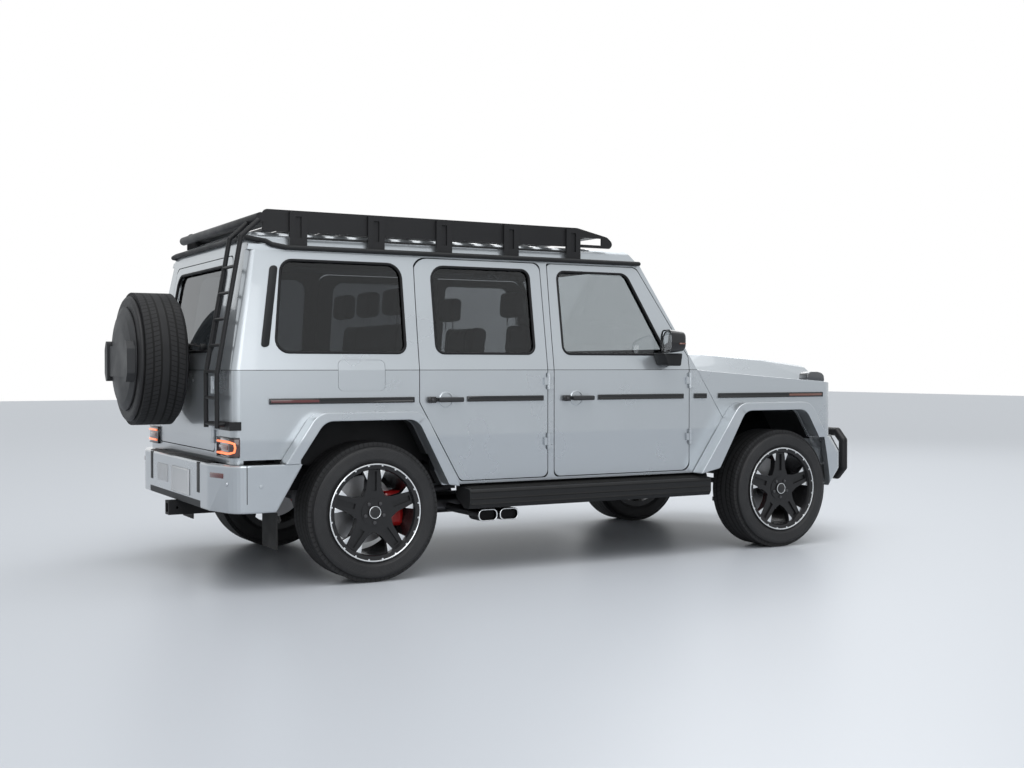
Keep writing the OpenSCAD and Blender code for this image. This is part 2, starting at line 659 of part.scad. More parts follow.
// The tow socket hangs from the rear cross member, with a cross hole for its locking pin.
module tow_hitch() {
    color("#202224") {
        box([hitch_x, -60, 410], [hitch_x + 80, 60, cross_z - seat_gap]);
        difference() {
            box([-900, -40, 330], [-620, 40, 411]);
            box([-901, -26, 344], [-720, 26, 396]);
            translate([-850, -50, 370]) rotate([-90, 0, 0]) cylinder(r = 8, h = 100);
        }
    }
}
module floor_tub() {
    color("#303234") difference() {
        union() {
            box([tail_x + tail_t, -790, floor_z], [fire_x, 790, floor_z + floor_t]);
            both() {
                box([520, -790, sill_z + 15], [fire_x, -700, floor_z]);
                box([520, -side_y + wall, sill_z], [fire_x, -700, sill_z + 15]);
                box([-520, -790, floor_z], [520, -wheel_box_y, 905]);
                box([-520, -side_y + wall, 893], [285, -wheel_box_y, 905]);
            }
        }
        both() box([-495, -800, floor_z - 1], [495, -wheel_box_y - 20, 880]);
    }
}
module powertrain() {
    color("#55585c") {
        front() {
            along_x(2480, 3060) polygon(rounded([[-170, 560, 0], [170, 560, 0], [260, 700, 40],
                [260, 960, 60],
                [200, 1010, 30], [-200, 1010, 30], [-260, 960, 60], [-260, 700, 40]]));
            both() box([2700, -420, rail_z + rail_h], [2780, -150, rail_z + rail_h + 40]);
            rod([1690, 0, 520], [2490, 0, 520], 95);
            box([1860, -60, 385], [1980, 60, 520]);
            box([1450, -150, 420], [1700, 150, 600]);
            rod([1690, 110, 445], [2789, 40, 390], 22);
        }
        rod([1460 + front_shift, 0, 500], [138.5, 0, hub_z], 30);
    }
}
module brake_caliper(side) {
    difference() {
        intersection() {
            rotate([90, 0, 0]) translate([0, 0, -112]) cylinder(r = rim_r - 45, h = 80);
            box([side > 0 ? 110 : -230, -400, -80], [side > 0 ? 230 : -110, 400, 80]);
        }
        rotate([90, 0, 0]) translate([0, 0, -96]) cylinder(r = disc_r + 5, h = 42);
    }
}
module coil(h, r, wire, turns) {
    rotate_extrude() polygon(concat([[r - 2 * wire, 0]], [for (i = [0:turns * 8])
        [r - wire * (1 - cos(i * 45)) / 2, h * i / (turns * 8)]], [[r - 2 * wire, h]]));
}
module rear_axle() {
    seat_y = hub_y - 127;
    color("#3a3c40") {
        translate([0, 0, hub_z]) {
            sphere(r = 138);
            both() {
                rod([0, 0, 0], [0, -seat_y, 0], 45);
                rod([0, -seat_y + 10, 0], [0, -seat_y - 22, 0], 62);
                rod([0, -seat_y, 0], [0, -hub_y - 45, 0], spindle_r);
                box([100, -seat_y - 25, -40], [150, -seat_y - 15, 40]);
                box([20, -seat_y - 25, -30], [110, -seat_y - 12, 30]);
                box([-55, -595, 30], [55, -485, 60]);
                translate([0, -540, 60]) coil(rail_z + rail_h - hub_z - 60, 52, 12, 4);
                rod([30, -430, 10], [700, -430, 70], 20);
                box([660, -450, 60], [740, -410, rail_z - hub_z]);
                translate([0, -hub_y, 0]) brake_caliper(1);
            }
        }
    }
}
module arm(z, y_in, w) {
    difference() {
        along_z(z, z + 28) union() {
            polygon([[wheelbase - w, -y_in], [wheelbase + w, -y_in], [wheelbase + 24, -king_y],
                [wheelbase - 24, -king_y]]);
            translate([wheelbase, -king_y]) circle(r = 26);
        }
        translate([wheelbase, -king_y, z - 1]) cylinder(r = king_r + run_gap, h = 30);
    }
}
lower_arm_z = hub_z - 123;
upper_arm_z = hub_z + 143;
module front_suspension() {
    color("#3a3c40") {
        box([wheelbase - 60, -rail_y, 440], [wheelbase + 60, rail_y, rail_z]);
        translate([wheelbase, 0, hub_z]) sphere(r = 100);
        both() {
            arm(lower_arm_z, 400, 140);
            arm(upper_arm_z, rail_y, 90);
            for (x = [-130, 90]) box([wheelbase + x, -420, lower_arm_z], [wheelbase + x + 40, -400, rail_z]);
            rod([wheelbase, 0, hub_z], [wheelbase, -king_y + 45, hub_z], 18);
        }
    }
}
module knuckle() {
    out_y = king_y + 23;
    color("#3a3c40") {
        box([wheelbase - 25, -out_y, lower_arm_z + 28 + seat_gap],
            [wheelbase + 25, -king_y + 22, upper_arm_z - seat_gap]);
        translate([wheelbase, -king_y, lower_arm_z - 4]) cylinder(r = king_r, h = 302);
        rod([wheelbase, -king_y + 5, hub_z], [wheelbase, -out_y, hub_z], 60);
        rod([wheelbase, -out_y + 8, hub_z], [wheelbase, -hub_y - 45, hub_z], spindle_r);
        box([wheelbase - 130, -out_y, hub_z - 30], [wheelbase, -out_y + 13, hub_z + 30]);
        translate([wheelbase, -hub_y, hub_z]) brake_caliper(-1);
        box([wheelbase - 150, -king_y - 7, hub_z - 55], [wheelbase, -king_y + 15, hub_z - 35]);
    }
}

// Wheels lie on their own axis along Y, with the outer face to the right.
module tyre() {
    h = tyre_w / 2;
    b = rim_r - 12;
    e = (tyre_r - b) * 0.274;
    rib = tyre_w / 6;
    half = [[b, -h + 14.3, 0], [b + 0.4 * e, -h + 14.3, 0], [b + e, -h, 0.4 * e], [tyre_r - e, -h, 0.9 * e],
        [tyre_r - 1, -h + 34, 0.35 * e]];
    far = [for (i = [4:-1:0]) [half[i][0], -half[i][1], half[i][2]]];
    color("#17181a") rotate([90, 0, 0]) rotate_extrude($fn = 72) polygon(concat(
        rounded(half, 3), [for (k = [-2:2], s = [-1, 1]) [tyre_r, k * rib + s * (rib / 2 - 6)]],
            rounded(far, 3)));
}
module spoke_star(reach) {
    half = 180 / spokes;
    spoke = [[108 * cos(half), -108 * sin(half)], [130, -46], [185, -41], [reach, -66], [reach, 66],
        [185, 41],
        [130, 46]];
    polygon([for (k = [1:spokes], p = spoke) let (a = 90 + 2 * half * k)
        [p[0] * cos(a) - p[1] * sin(a), p[0] * sin(a) + p[1] * cos(a)]]);
}
module rim() {
    h = tyre_w / 2;
    b = rim_r - 12 - seat_gap;
    color("#222326") difference() {
        rotate([90, 0, 0]) union() {
            rotate_extrude($fn = 72) polygon([[b - 26, -h + 8], [rim_r, -h + 8], [rim_r, -h + 14],
                [b, -h + 14],
                [b, h - 14], [rim_r, h - 14], [rim_r, h - 6], [b - 20, h - 10], [b - 26, h - 24]]);
            translate([0, 0, -92]) cylinder(r = 70, h = 150);
            translate([0, 0, -90]) cylinder(r = disc_r, h = 30);
            translate([0, 0, 40]) cylinder(r = 76, h = 72);
            translate([0, 0, 66]) linear_extrude(42) spoke_star(b - 15);
        }
        rotate([90, 0, 0]) for (k = [1:spokes]) rotate([0, 0, 90 + k * 360 / spokes])
            translate([118, -15, 96]) cube([b - 153, 30, 20]);
        rotate([90, 0, 0]) translate([0, 0, -120]) cylinder(r = spindle_r + run_gap, h = 170);
    }
}

module at_hub(x) { translate([x, -hub_y, hub_z]) children(); }

// Outside fittings
module side_steps() {
    color("#17181a") both() {
        along_x(577, along(2299)) polygon(rounded([[-965, 400, 14], [-950, 372, 14], [-890, 372, 20],
            [-790, 430, 0], [-790, 496, 0], [-965, 484, 14]]));
        for (x = [820, along(1420), along(2040)]) box([x, -790, 484], [x + 60, -rail_y, 508]);
    }
}
// An oval of the given half width and half height round a tip's middle.
tip_z = 326;
module tip_oval(x, w, h) {
    polygon(rounded([[x - w, tip_z - h, h - 5], [x + w, tip_z - h, h - 5], [x + w, tip_z + h, h - 5],
        [x - w, tip_z + h, h - 5]]));
}
module exhaust() {
    color("#707275") both() {
        along_x(640, 1000) polygon(rounded([[-400, 290, 40], [-120, 290, 40], [-120, 400, 40],
            [-400, 400, 40]]));
        box([800, -440, 330], [816, -400, rail_z]);
        for (x = [725, 865]) {
            rod([x, -390, tip_z], [x, -800, tip_z], 25);
            difference() {
                along_y(-905, -780) tip_oval(x, 62, 35);
                along_y(-910, -830) tip_oval(x, 56, 29);
            }
        }
        tube_line([[990, -286.3, 318], [2560 + front_shift, -286.3, 318],
            [2560 + front_shift, -286.3, 780]], 26);
    }
}
module mud_flaps() {
    color("#17181a") both() along_x(-560, -552) polygon([[-935, 213], [-700, 213], [-700, floor_z],
        [-890, floor_z], [-890, 410], [-935, 410]]);
}
rack_posts = [for (x = [-375, 85, 510, 955, 1390]) along(x)];
slat_x = -480;
slat_pitch = 135;
module roof_rack() {
    front_x = along(1691);
    plate = [[-575, 1920, 0], [front_x - 26, 1920, 20], [front_x, 1950, 25], [front_x - 45, 1990, 40],
        [front_x - 265, 2038, 60], [-575, 2038, 30]];
    color("#151618") {
        both() {
            difference() {
                along_y(-758, -750) polygon(rounded(plate));
                box([rack_posts[4] + 60, -760, 1938], [front_x - 90, -740, 1980]);
            }
            for (x = rack_posts) difference() {
                box([x - 50, -774, ledge_z + seat_gap], [x + 50, -757, 2030]);
                box([x - 17, -780, 1888], [x + 17, -764, 2004]);
            }
            box([rack_posts[0], -760, 1883], [rack_posts[4], -757, 1895]);
        }
        rod([-590, -780, 1990], [-590, 780, 1990], 26);
        difference() {
            for (i = [0:15]) box([slat_x - 40 + i * slat_pitch, -750, 1982],
                [slat_x + 40 + i * slat_pitch, 750, 1997]);
            for (i = [3, 11], y = [-500, 500]) translate([slat_x + i * slat_pitch, y, 1970])
                cylinder(r = 4.5, h = 40);
        }
    }
}
module ladder() {
    rails = [-605, -810];
    color("#151618") {
        for (y = rails) {
            tube_line([[-840, y, 860], [-840, y, 1150], [-708, y, 1880], [-609.3, y, 1972]], 13);
            rod([-840, y, 880], [tail_x, y, 880], 12);
        }
        for (i = [0:6]) let (x = -840 + max(i * 140 - 280, 0) * 0.18, z = 880 + i * 140)
            rod([x, rails[0], z], [x, rails[1], z], 9);
        box([tail_x - 20, -side_y - 15, 850], [tail_x - seat_gap, -700, 895]);
        box([tail_x - 20, -side_y - 15, 850], [tail_x + 45, -side_y - seat_gap, 895]);
    }
}
module fixed_glass() {
    color([0.2, 0.22, 0.24, 0.6]) {
        both() side_glass(quarter_window);
        intersection() {
            along_y(-1000, 1000) polygon([[screen_x(1292) - 18, 1292], [screen_x(1292) - 10, 1292],
                [screen_x(rail_top_z) - 10, rail_top_z], [screen_x(rail_top_z) - 18, rail_top_z]]);
            along_x(1700 + front_shift, 2400 + front_shift) cabin_section(seat_gap);
        }
    }
}

// Cabin
module seat(x, y0, y1) {
    along_y(y0, y1) polygon(rounded([[x, 850, 40], [x + 520, 850, 50], [x + 530, 1000, 50], [x + 90, 975, 30],
        [x + 20, 1480, 50], [x - 90, 1480, 50], [x - 20, 980, 30]]));
    box([x + 40, y0 + 40, floor_z + floor_t], [x + 460, y1 - 40, 851]);
}
module seats() {
    color("#2a2b2e") {
        both() {
            front() {
                seat(1190, -690, -190);
                along_y(-560, -320) polygon(rounded([[1090, 1478, 0], [1190, 1478, 0], [1165, 1660, 40],
                    [1075, 1660, 40]]));
            }
        }
        seat(400, -wheel_box_y + 20, wheel_box_y - 20);
    }
}
module dashboard() {
    color("#232427") front() {
        along_y(-770, 770) polygon(rounded([[2060, 960, 40], [2200, 960, 0], [2200, 1235, 0],
            [2040, 1235, 60]]));
        translate([1850, 370, 1130]) rotate([0, -68, 0]) {
            rotate_extrude() translate([180, 0]) circle(r = 14, $fn = 24);
            for (a = [0, 90, 180]) rotate([0, 0, a]) rod([0, 0, -4], [176, 0, 0], 12);
            cylinder(r = 50, h = 30, center = true);
        }
        rod([1850, 370, 1130], [2100, 370, 1030], 28);
    }
}

place() chassis_frame();
place() tow_hitch();
place() floor_tub();
place() body_sides();
place() roof_panel();
place() rear_panel();
place() cowl_panel();
place() front_fenders();
place() arch_flares();
place() arch_liners();
place() grille_panel();
place() front_lamps();
place() front_bumper();
place() brush_guard();
place() rear_bumper();
place() tail_lamps();
place() side_steps();
place() exhaust();
place() mud_flaps();
place() roof_rack();
place() gutters();
place() ladder();
place() fixed_glass();
place() powertrain();
place() rear_axle();
place() front_suspension();
place() seats();
place() dashboard();
place() bonnet();
place() fuel_flap();
place() door_front();  // door_front_right
place() side_glass(front_window);  // glass_front_right
place() mirror_housing();  // mirror_right
mirror([0, 1, 0]) place() door_front();  // door_front_left
mirror([0, 1, 0]) place() side_glass(front_window);  // glass_front_left
mirror([0, 1, 0]) place() mirror_housing();  // mirror_left
place() door_rear();  // door_rear_right
place() side_glass(rear_window);  // glass_rear_right
mirror([0, 1, 0]) place() door_rear();  // door_rear_left
mirror([0, 1, 0]) place() side_glass(rear_window);  // glass_rear_left
place() tailgate();
place() glass_tailgate();
place() spare_tyre();
place() spare_cover();
place() knuckle();  // knuckle_right
mirror([0, 1, 0]) place() knuckle();  // knuckle_left
place() at_hub(wheelbase) rim();  // rim_front_right
place() at_hub(wheelbase) tyre();  // tyre_front_right
mirror([0, 1, 0]) place() at_hub(wheelbase) rim();  // rim_front_left
mirror([0, 1, 0]) place() at_hub(wheelbase) tyre();  // tyre_front_left
place() at_hub(0) rim();  // rim_rear_right
place() at_hub(0) tyre();  // tyre_rear_right
mirror([0, 1, 0]) place() at_hub(0) rim();  // rim_rear_left
mirror([0, 1, 0]) place() at_hub(0) tyre();  // tyre_rear_left
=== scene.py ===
"""Looks of the off-road estate car: finishes for its solids, and trim, lamps, wheels' bright parts and padded seats."""
import math
import random

import bmesh
import bpy
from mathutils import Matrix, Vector


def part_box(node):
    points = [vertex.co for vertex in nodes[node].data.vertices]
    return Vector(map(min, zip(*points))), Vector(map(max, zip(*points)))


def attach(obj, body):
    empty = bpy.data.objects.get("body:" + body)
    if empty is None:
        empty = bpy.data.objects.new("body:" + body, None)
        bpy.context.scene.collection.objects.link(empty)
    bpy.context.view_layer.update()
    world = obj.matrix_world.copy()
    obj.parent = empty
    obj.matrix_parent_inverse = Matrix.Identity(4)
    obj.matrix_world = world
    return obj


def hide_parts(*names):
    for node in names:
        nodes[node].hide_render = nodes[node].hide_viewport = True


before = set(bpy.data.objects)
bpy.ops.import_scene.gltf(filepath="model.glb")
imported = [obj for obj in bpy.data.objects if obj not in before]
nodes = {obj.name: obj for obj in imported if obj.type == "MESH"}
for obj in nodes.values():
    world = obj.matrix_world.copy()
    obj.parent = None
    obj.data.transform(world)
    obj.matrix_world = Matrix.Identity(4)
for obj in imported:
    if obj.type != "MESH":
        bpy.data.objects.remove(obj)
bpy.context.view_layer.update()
random.seed(7)


def middle(node):
    low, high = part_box(node)
    return (Vector(low) + Vector(high)) / 2


SIDES = {"right": -1, "left": 1}
AXLES = {"rear": middle("tyre_rear_left").x, "front": middle("tyre_front_left").x}
HUB_Y = middle("tyre_rear_left").y
HUB_Z = middle("tyre_rear_left").z


def car(x, y, z):
    """A point given in millimetres, with x from the rear axle."""
    return Vector((AXLES["rear"] + x / 1000, y / 1000, z / 1000))


SKIN_Y = 0.880
BELT_Z = 1.167
CREASE_Z = 0.798
LEAN = 0.163
TAIL_X = car(-780, 0, 0).x
TAIL_LEAN = 0.18


# Modelling by hand: one primitive, shaped in edit mode
def only(obj):
    bpy.ops.object.select_all(action="DESELECT")
    obj.select_set(True)
    bpy.context.view_layer.objects.active = obj


def edit(obj):
    only(obj)
    bpy.ops.object.mode_set(mode="EDIT")


def done():
    bpy.ops.object.mode_set(mode="OBJECT")


def settle(obj, name):
    """Puts the object at the origin with its place in its mesh."""
    only(obj)
    bpy.ops.object.transform_apply(location=True, rotation=True, scale=True)
    obj.name = name
    obj.data.name = name
    return obj


def pick(obj, test, kind="FACE"):
    """In edit mode, selects the faces, edges or corners whose middle and normal pass the test."""
    bpy.ops.mesh.select_mode(type=kind)
    bpy.ops.mesh.select_all(action="DESELECT")
    bm = bmesh.from_edit_mesh(obj.data)
    bm.normal_update()
    if kind == "FACE":
        for f in bm.faces:
            f.select_set(bool(test(f.calc_center_median(), f.normal)))
    elif kind == "EDGE":
        for e in bm.edges:
            if test((e.verts[0].co + e.verts[1].co) / 2, (e.verts[1].co - e.verts[0].co).normalized()):
                e.select_set(True)
    else:
        for v in bm.verts:
            v.select_set(bool(test(v.co, v.normal)))
    bm.select_flush_mode()
    bmesh.update_edit_mesh(obj.data)


def box(name, lo, hi, bevel=0.0, steps=2):
    """A cube primitive of the given corners, with its edges rounded."""
    lo, hi = Vector(map(min, lo, hi)), Vector(map(max, lo, hi))
    bpy.ops.mesh.primitive_cube_add(size=1, location=(lo + hi) / 2, scale=hi - lo)
    obj = settle(bpy.context.object, name)
    if bevel:
        edit(obj)
        bpy.ops.mesh.select_all(action="SELECT")
        bpy.ops.mesh.bevel(offset=bevel, segments=steps)
        done()
    return obj


def disc(name, centre, axis, radius, depth, sides=48, bevel=0.0):
    """A cylinder primitive along an axis, with its rims rounded."""
    turn = {"X": (0, math.pi / 2, 0), "Y": (math.pi / 2, 0, 0), "Z": (0, 0, 0)}[axis]
    bpy.ops.mesh.primitive_cylinder_add(vertices=sides, radius=radius, depth=depth, location=centre, rotation=turn)
    obj = settle(bpy.context.object, name)
    if bevel:
        edit(obj)
        along = {"X": 0, "Y": 1, "Z": 2}[axis]
        pick(obj, lambda c, d: abs(d[along]) < 0.5, "EDGE")
        bpy.ops.mesh.bevel(offset=bevel, segments=2)
        done()
    return obj


def slab(name, outline, axis, lo, hi, bevel=0.0, steps=2):
    """A circle primitive whose corners are moved to an outline across the axis, then drawn out from lo to hi."""
    bpy.ops.mesh.primitive_circle_add(vertices=len(outline), radius=1, fill_type="NGON")
    obj = bpy.context.object
    edit(obj)
    bm = bmesh.from_edit_mesh(obj.data)
    bm.verts.ensure_lookup_table()
    spare = {"X": (1, 2), "Y": (0, 2), "Z": (0, 1)}[axis]
    along = "XYZ".index(axis)
    for v, (a, b) in zip(bm.verts, outline):
        v.co[spare[0]], v.co[spare[1]], v.co[along] = a, b, lo
    bmesh.update_edit_mesh(obj.data)
    bpy.ops.mesh.select_all(action="SELECT")
    draw = Vector((0, 0, 0))
    draw[along] = hi - lo
    bpy.ops.mesh.extrude_region_move(TRANSFORM_OT_translate={"value": draw})
    bpy.ops.mesh.select_all(action="SELECT")
    bpy.ops.mesh.normals_make_consistent(inside=False)
    if bevel:
        bpy.ops.mesh.bevel(offset=bevel, segments=steps)
    done()
    return settle(obj, name)


def soften(node, width, angle=30):
    """Rounds the sharp edges of a solid: its doubled corners are welded and its edges bevelled."""
    obj = nodes[node]
    weld = obj.modifiers.new("weld", "WELD")
    weld.merge_threshold = 0.00005
    edge = obj.modifiers.new("edge", "BEVEL")
    edge.width, edge.segments, edge.limit_method, edge.angle_limit = width, 2, "ANGLE", math.radians(angle)
    edge.harden_normals = False


def ring(name, centre, axis, radius, thick, sides=72):
    turn = {"X": (0, math.pi / 2, 0), "Y": (math.pi / 2, 0, 0), "Z": (0, 0, 0)}[axis]
    bpy.ops.mesh.primitive_torus_add(location=centre, rotation=turn, major_radius=radius, minor_radius=thick,
                                     major_segments=sides, minor_segments=8)
    return settle(bpy.context.object, name)


def sink(obj, test, rim, depth):
    """Insets the faces that pass the test and moves the middle along depth."""
    edit(obj)
    pick(obj, test)
    bpy.ops.mesh.inset(thickness=rim)
    bpy.ops.mesh.extrude_region_move(TRANSFORM_OT_translate={"value": depth})
    done()


def join(parts, name):
    bpy.ops.object.select_all(action="DESELECT")
    for p in parts:
        p.select_set(True)
    bpy.context.view_layer.objects.active = parts[0]
    bpy.ops.object.join()
    return settle(bpy.context.object, name)


def tube(name, points, radius, closed=False):
    """A pipe along points, made a mesh."""
    curve = bpy.data.curves.new(name, "CURVE")
    curve.dimensions = "3D"
    curve.bevel_depth = radius
    curve.bevel_resolution = 3
    curve.use_fill_caps = True
    line = curve.splines.new("POLY")
    line.points.add(len(points) - 1)
    for p, co in zip(line.points, points):
        p.co = (*co, 1)
    line.use_cyclic_u = closed
    obj = bpy.data.objects.new(name, curve)
    bpy.context.scene.collection.objects.link(obj)
    only(obj)
    bpy.ops.object.convert(target="MESH")
    return settle(bpy.context.object, name)


def finish_piece(obj, body, material, smooth=35):
    obj.data.materials.clear()
    obj.data.materials.append(material)
    only(obj)
    bpy.ops.object.shade_smooth_by_angle(angle=math.radians(smooth))
    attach(obj, body)
    return obj


# Materials
def put(tree, kind, inputs=None, **settings):
    n = tree.nodes.new(kind)
    for key, value in settings.items():
        setattr(n, key, value)
    for key, value in (inputs or {}).items():
        if isinstance(value, bpy.types.NodeSocket):
            tree.links.new(value, n.inputs[key])
        else:
            n.inputs[key].default_value = value
    return n


def maths(tree, how, a, b=0.0):
    return put(tree, "ShaderNodeMath", {0: a, 1: b}, operation=how).outputs[0]


def grain(name, fine, bump, broad, streak=(1, 1, 1)):
    """A shared effect: fine grain as a normal, fine and broad patches as values."""
    g = bpy.data.node_groups.new(name, "ShaderNodeTree")
    for label, kind in (("Fine", "Float"), ("Broad", "Float"), ("Normal", "Vector")):
        g.interface.new_socket(label, in_out="OUTPUT", socket_type="NodeSocket" + kind)
    place = put(g, "ShaderNodeTexCoord").outputs["Object"]
    scaled = put(g, "ShaderNodeMapping", {"Vector": place, "Scale": streak}).outputs[0]
    small = put(g, "ShaderNodeTexNoise", {"Vector": scaled, "Scale": fine, "Detail": 3.0}).outputs[0]
    large = put(g, "ShaderNodeTexNoise", {"Vector": place, "Scale": broad, "Detail": 4.0}).outputs[0]
    bumped = put(g, "ShaderNodeBump", {"Height": small, "Strength": bump, "Distance": 0.001}).outputs[0]
    out = put(g, "NodeGroupOutput")
    for label, value in (("Fine", small), ("Broad", large), ("Normal", bumped)):
        g.links.new(value, out.inputs[label])
    return g


def material(name, color, rough, group, metal=0.0, vary=0.12, rough_vary=0.08, patch="Broad", **fixed):
    """A finish whose colour and roughness vary with the shared grain."""
    mat = bpy.data.materials.new(name)
    mat.use_nodes = True
    tree = mat.node_tree
    bsdf = tree.nodes["Principled BSDF"]
    bsdf.inputs["Metallic"].default_value = metal
    for key, value in fixed.items():
        bsdf.inputs[key.replace("_", " ")].default_value = value
    g = put(tree, "ShaderNodeGroup", node_tree=group)
    dark = tuple(c * (1 - vary) for c in color) + (1,)
    light = tuple(min(c * (1 + vary), 1) for c in color) + (1,)
    mix = put(tree, "ShaderNodeMix", {0: g.outputs[patch], 6: dark, 7: light}, data_type="RGBA")
    tree.links.new(mix.outputs[2], bsdf.inputs["Base Color"])
    spread = put(tree, "ShaderNodeMapRange", {0: g.outputs["Broad"], 1: 0.3, 2: 0.7,
                                              3: max(rough - rough_vary, 0.02), 4: rough + rough_vary})
    tree.links.new(spread.outputs[0], bsdf.inputs["Roughness"])
    tree.links.new(g.outputs["Normal"], bsdf.inputs["Normal"])
    return mat


def cabin_side_mask(tree):
    """1 where a point lies more than 14 mm under the body's skin, so that it shows as cabin trim."""
    xyz = put(tree, "ShaderNodeSeparateXYZ", {0: put(tree, "ShaderNodeTexCoord").outputs["Object"]})
    above = maths(tree, "MAXIMUM", maths(tree, "SUBTRACT", xyz.outputs[2], BELT_Z), 0.0)
    skin = maths(tree, "SUBTRACT", SKIN_Y, maths(tree, "MULTIPLY", above, LEAN))
    side = maths(tree, "SUBTRACT", skin, maths(tree, "ABSOLUTE", xyz.outputs[1]))
    tail = maths(tree, "SUBTRACT", xyz.outputs[0], maths(tree, "ADD", TAIL_X, maths(tree, "MULTIPLY", above, TAIL_LEAN)))
    return maths(tree, "GREATER_THAN", maths(tree, "MINIMUM", side, tail), 0.014)


def underside_mask(tree):
    """1 where a face looks down."""
    normal = put(tree, "ShaderNodeNewGeometry").outputs["Normal"]
    return maths(tree, "LESS_THAN", put(tree, "ShaderNodeSeparateXYZ", {0: normal}).outputs[2], -0.25)


def body_lines():
    """A shared effect of the body's sides: Seam is 1 on the fine seam along the belt, and Normal tucks the
    lower sides in under the crease."""
    g = bpy.data.node_groups.new("body_lines", "ShaderNodeTree")
    g.interface.new_socket("Seam", in_out="OUTPUT", socket_type="NodeSocketFloat")
    g.interface.new_socket("Normal", in_out="OUTPUT", socket_type="NodeSocketVector")
    xyz = put(g, "ShaderNodeSeparateXYZ", {0: put(g, "ShaderNodeTexCoord").outputs["Object"]})
    height = xyz.outputs[2]
    off_belt = maths(g, "ABSOLUTE", maths(g, "SUBTRACT", height, BELT_Z))
    seam = maths(g, "LESS_THAN", off_belt, 0.0018)
    tuck = put(g, "ShaderNodeMapRange", {0: height, 1: CREASE_Z - 0.02, 2: CREASE_Z + 0.004, 3: -0.17, 4: 0.0}).outputs[0]
    flakes = put(g, "ShaderNodeGroup", node_tree=FLAKES).outputs["Normal"]
    down = put(g, "ShaderNodeCombineXYZ", {2: tuck}).outputs[0]
    turned = put(g, "ShaderNodeVectorMath", {0: put(g, "ShaderNodeVectorMath", {0: flakes, 1: down}).outputs[0]},
                 operation="NORMALIZE").outputs[0]
    out = put(g, "NodeGroupOutput")
    g.links.new(seam, out.inputs["Seam"])
    g.links.new(turned, out.inputs["Normal"])
    return g


def bumper_mask(tree):
    """1 on the dark lower middle of a bumper."""
    xyz = put(tree, "ShaderNodeSeparateXYZ", {0: put(tree, "ShaderNodeTexCoord").outputs["Object"]})
    low = maths(tree, "LESS_THAN", xyz.outputs[2], 0.458)
    return maths(tree, "MULTIPLY", low, maths(tree, "LESS_THAN", maths(tree, "ABSOLUTE", xyz.outputs[1]), 0.56))


PAINT = (0.47, 0.50, 0.525)


def paint(name, mask=None):
    """Metallic lacquer over flakes; where the mask is 1 it is dark trim."""
    mat = bpy.data.materials.new(name)
    mat.use_nodes = True
    tree = mat.node_tree
    bsdf = tree.nodes["Principled BSDF"]
    g = put(tree, "ShaderNodeGroup", node_tree=FLAKES)
    lines = put(tree, "ShaderNodeGroup", node_tree=BODY_LINES)
    tint = put(tree, "ShaderNodeMix", {0: g.outputs["Fine"], 6: tuple(c * 0.93 for c in PAINT) + (1,),
                                       7: tuple(c * 1.07 for c in PAINT) + (1,)}, data_type="RGBA").outputs[2]
    if mask is cabin_side_mask:
        tint = put(tree, "ShaderNodeMix", {0: lines.outputs["Seam"], 6: tint, 7: (0.05, 0.053, 0.056, 1)},
                   data_type="RGBA").outputs[2]
    gloss = put(tree, "ShaderNodeMapRange", {0: g.outputs["Broad"], 1: 0.3, 2: 0.7, 3: 0.26, 4: 0.33}).outputs[0]
    if mask is None:
        tree.links.new(tint, bsdf.inputs["Base Color"])
        tree.links.new(gloss, bsdf.inputs["Roughness"])
        bsdf.inputs["Metallic"].default_value = 0.72
        bsdf.inputs["Coat Weight"].default_value = 1.0
    else:
        m = mask(tree)
        color = put(tree, "ShaderNodeMix", {0: m, 6: tint, 7: (0.02, 0.021, 0.023, 1)}, data_type="RGBA").outputs[2]
        tree.links.new(color, bsdf.inputs["Base Color"])
        tree.links.new(put(tree, "ShaderNodeMix", {0: m, 2: gloss, 3: 0.62}).outputs[0], bsdf.inputs["Roughness"])
        outside = maths(tree, "SUBTRACT", 1.0, m)
        tree.links.new(maths(tree, "MULTIPLY", outside, 0.72), bsdf.inputs["Metallic"])
        tree.links.new(outside, bsdf.inputs["Coat Weight"])
    bsdf.inputs["Coat Roughness"].default_value = 0.035
    tree.links.new(lines.outputs["Normal"], bsdf.inputs["Normal"])
    return mat


def glass(name, color, clear=None):
    """Tinted glass; forward of the point clear it takes the lighter tint of the windscreen."""
    mat = bpy.data.materials.new(name)
    mat.use_nodes = True
    tree = mat.node_tree
    bsdf = tree.nodes["Principled BSDF"]
    bsdf.inputs["Transmission Weight"].default_value = 1.0
    bsdf.inputs["Metallic"].default_value = 0.0
    bsdf.inputs["IOR"].default_value = 1.48
    g = put(tree, "ShaderNodeGroup", node_tree=GLAZE)
    film = put(tree, "ShaderNodeMix", {0: g.outputs["Broad"], 6: tuple(c * 0.92 for c in color) + (1,),
                                       7: tuple(color) + (1,)}, data_type="RGBA").outputs[2]
    if clear:
        xyz = put(tree, "ShaderNodeSeparateXYZ", {0: put(tree, "ShaderNodeTexCoord").outputs["Object"]})
        front = maths(tree, "GREATER_THAN", xyz.outputs[0], 0.3)
        film = put(tree, "ShaderNodeMix", {0: front, 6: film, 7: tuple(clear) + (1,)}, data_type="RGBA").outputs[2]
    tree.links.new(film, bsdf.inputs["Base Color"])
    tree.links.new(put(tree, "ShaderNodeMapRange", {0: g.outputs["Broad"], 1: 0.4, 2: 0.8, 3: 0.0, 4: 0.02}).outputs[0],
                   bsdf.inputs["Roughness"])
    return mat


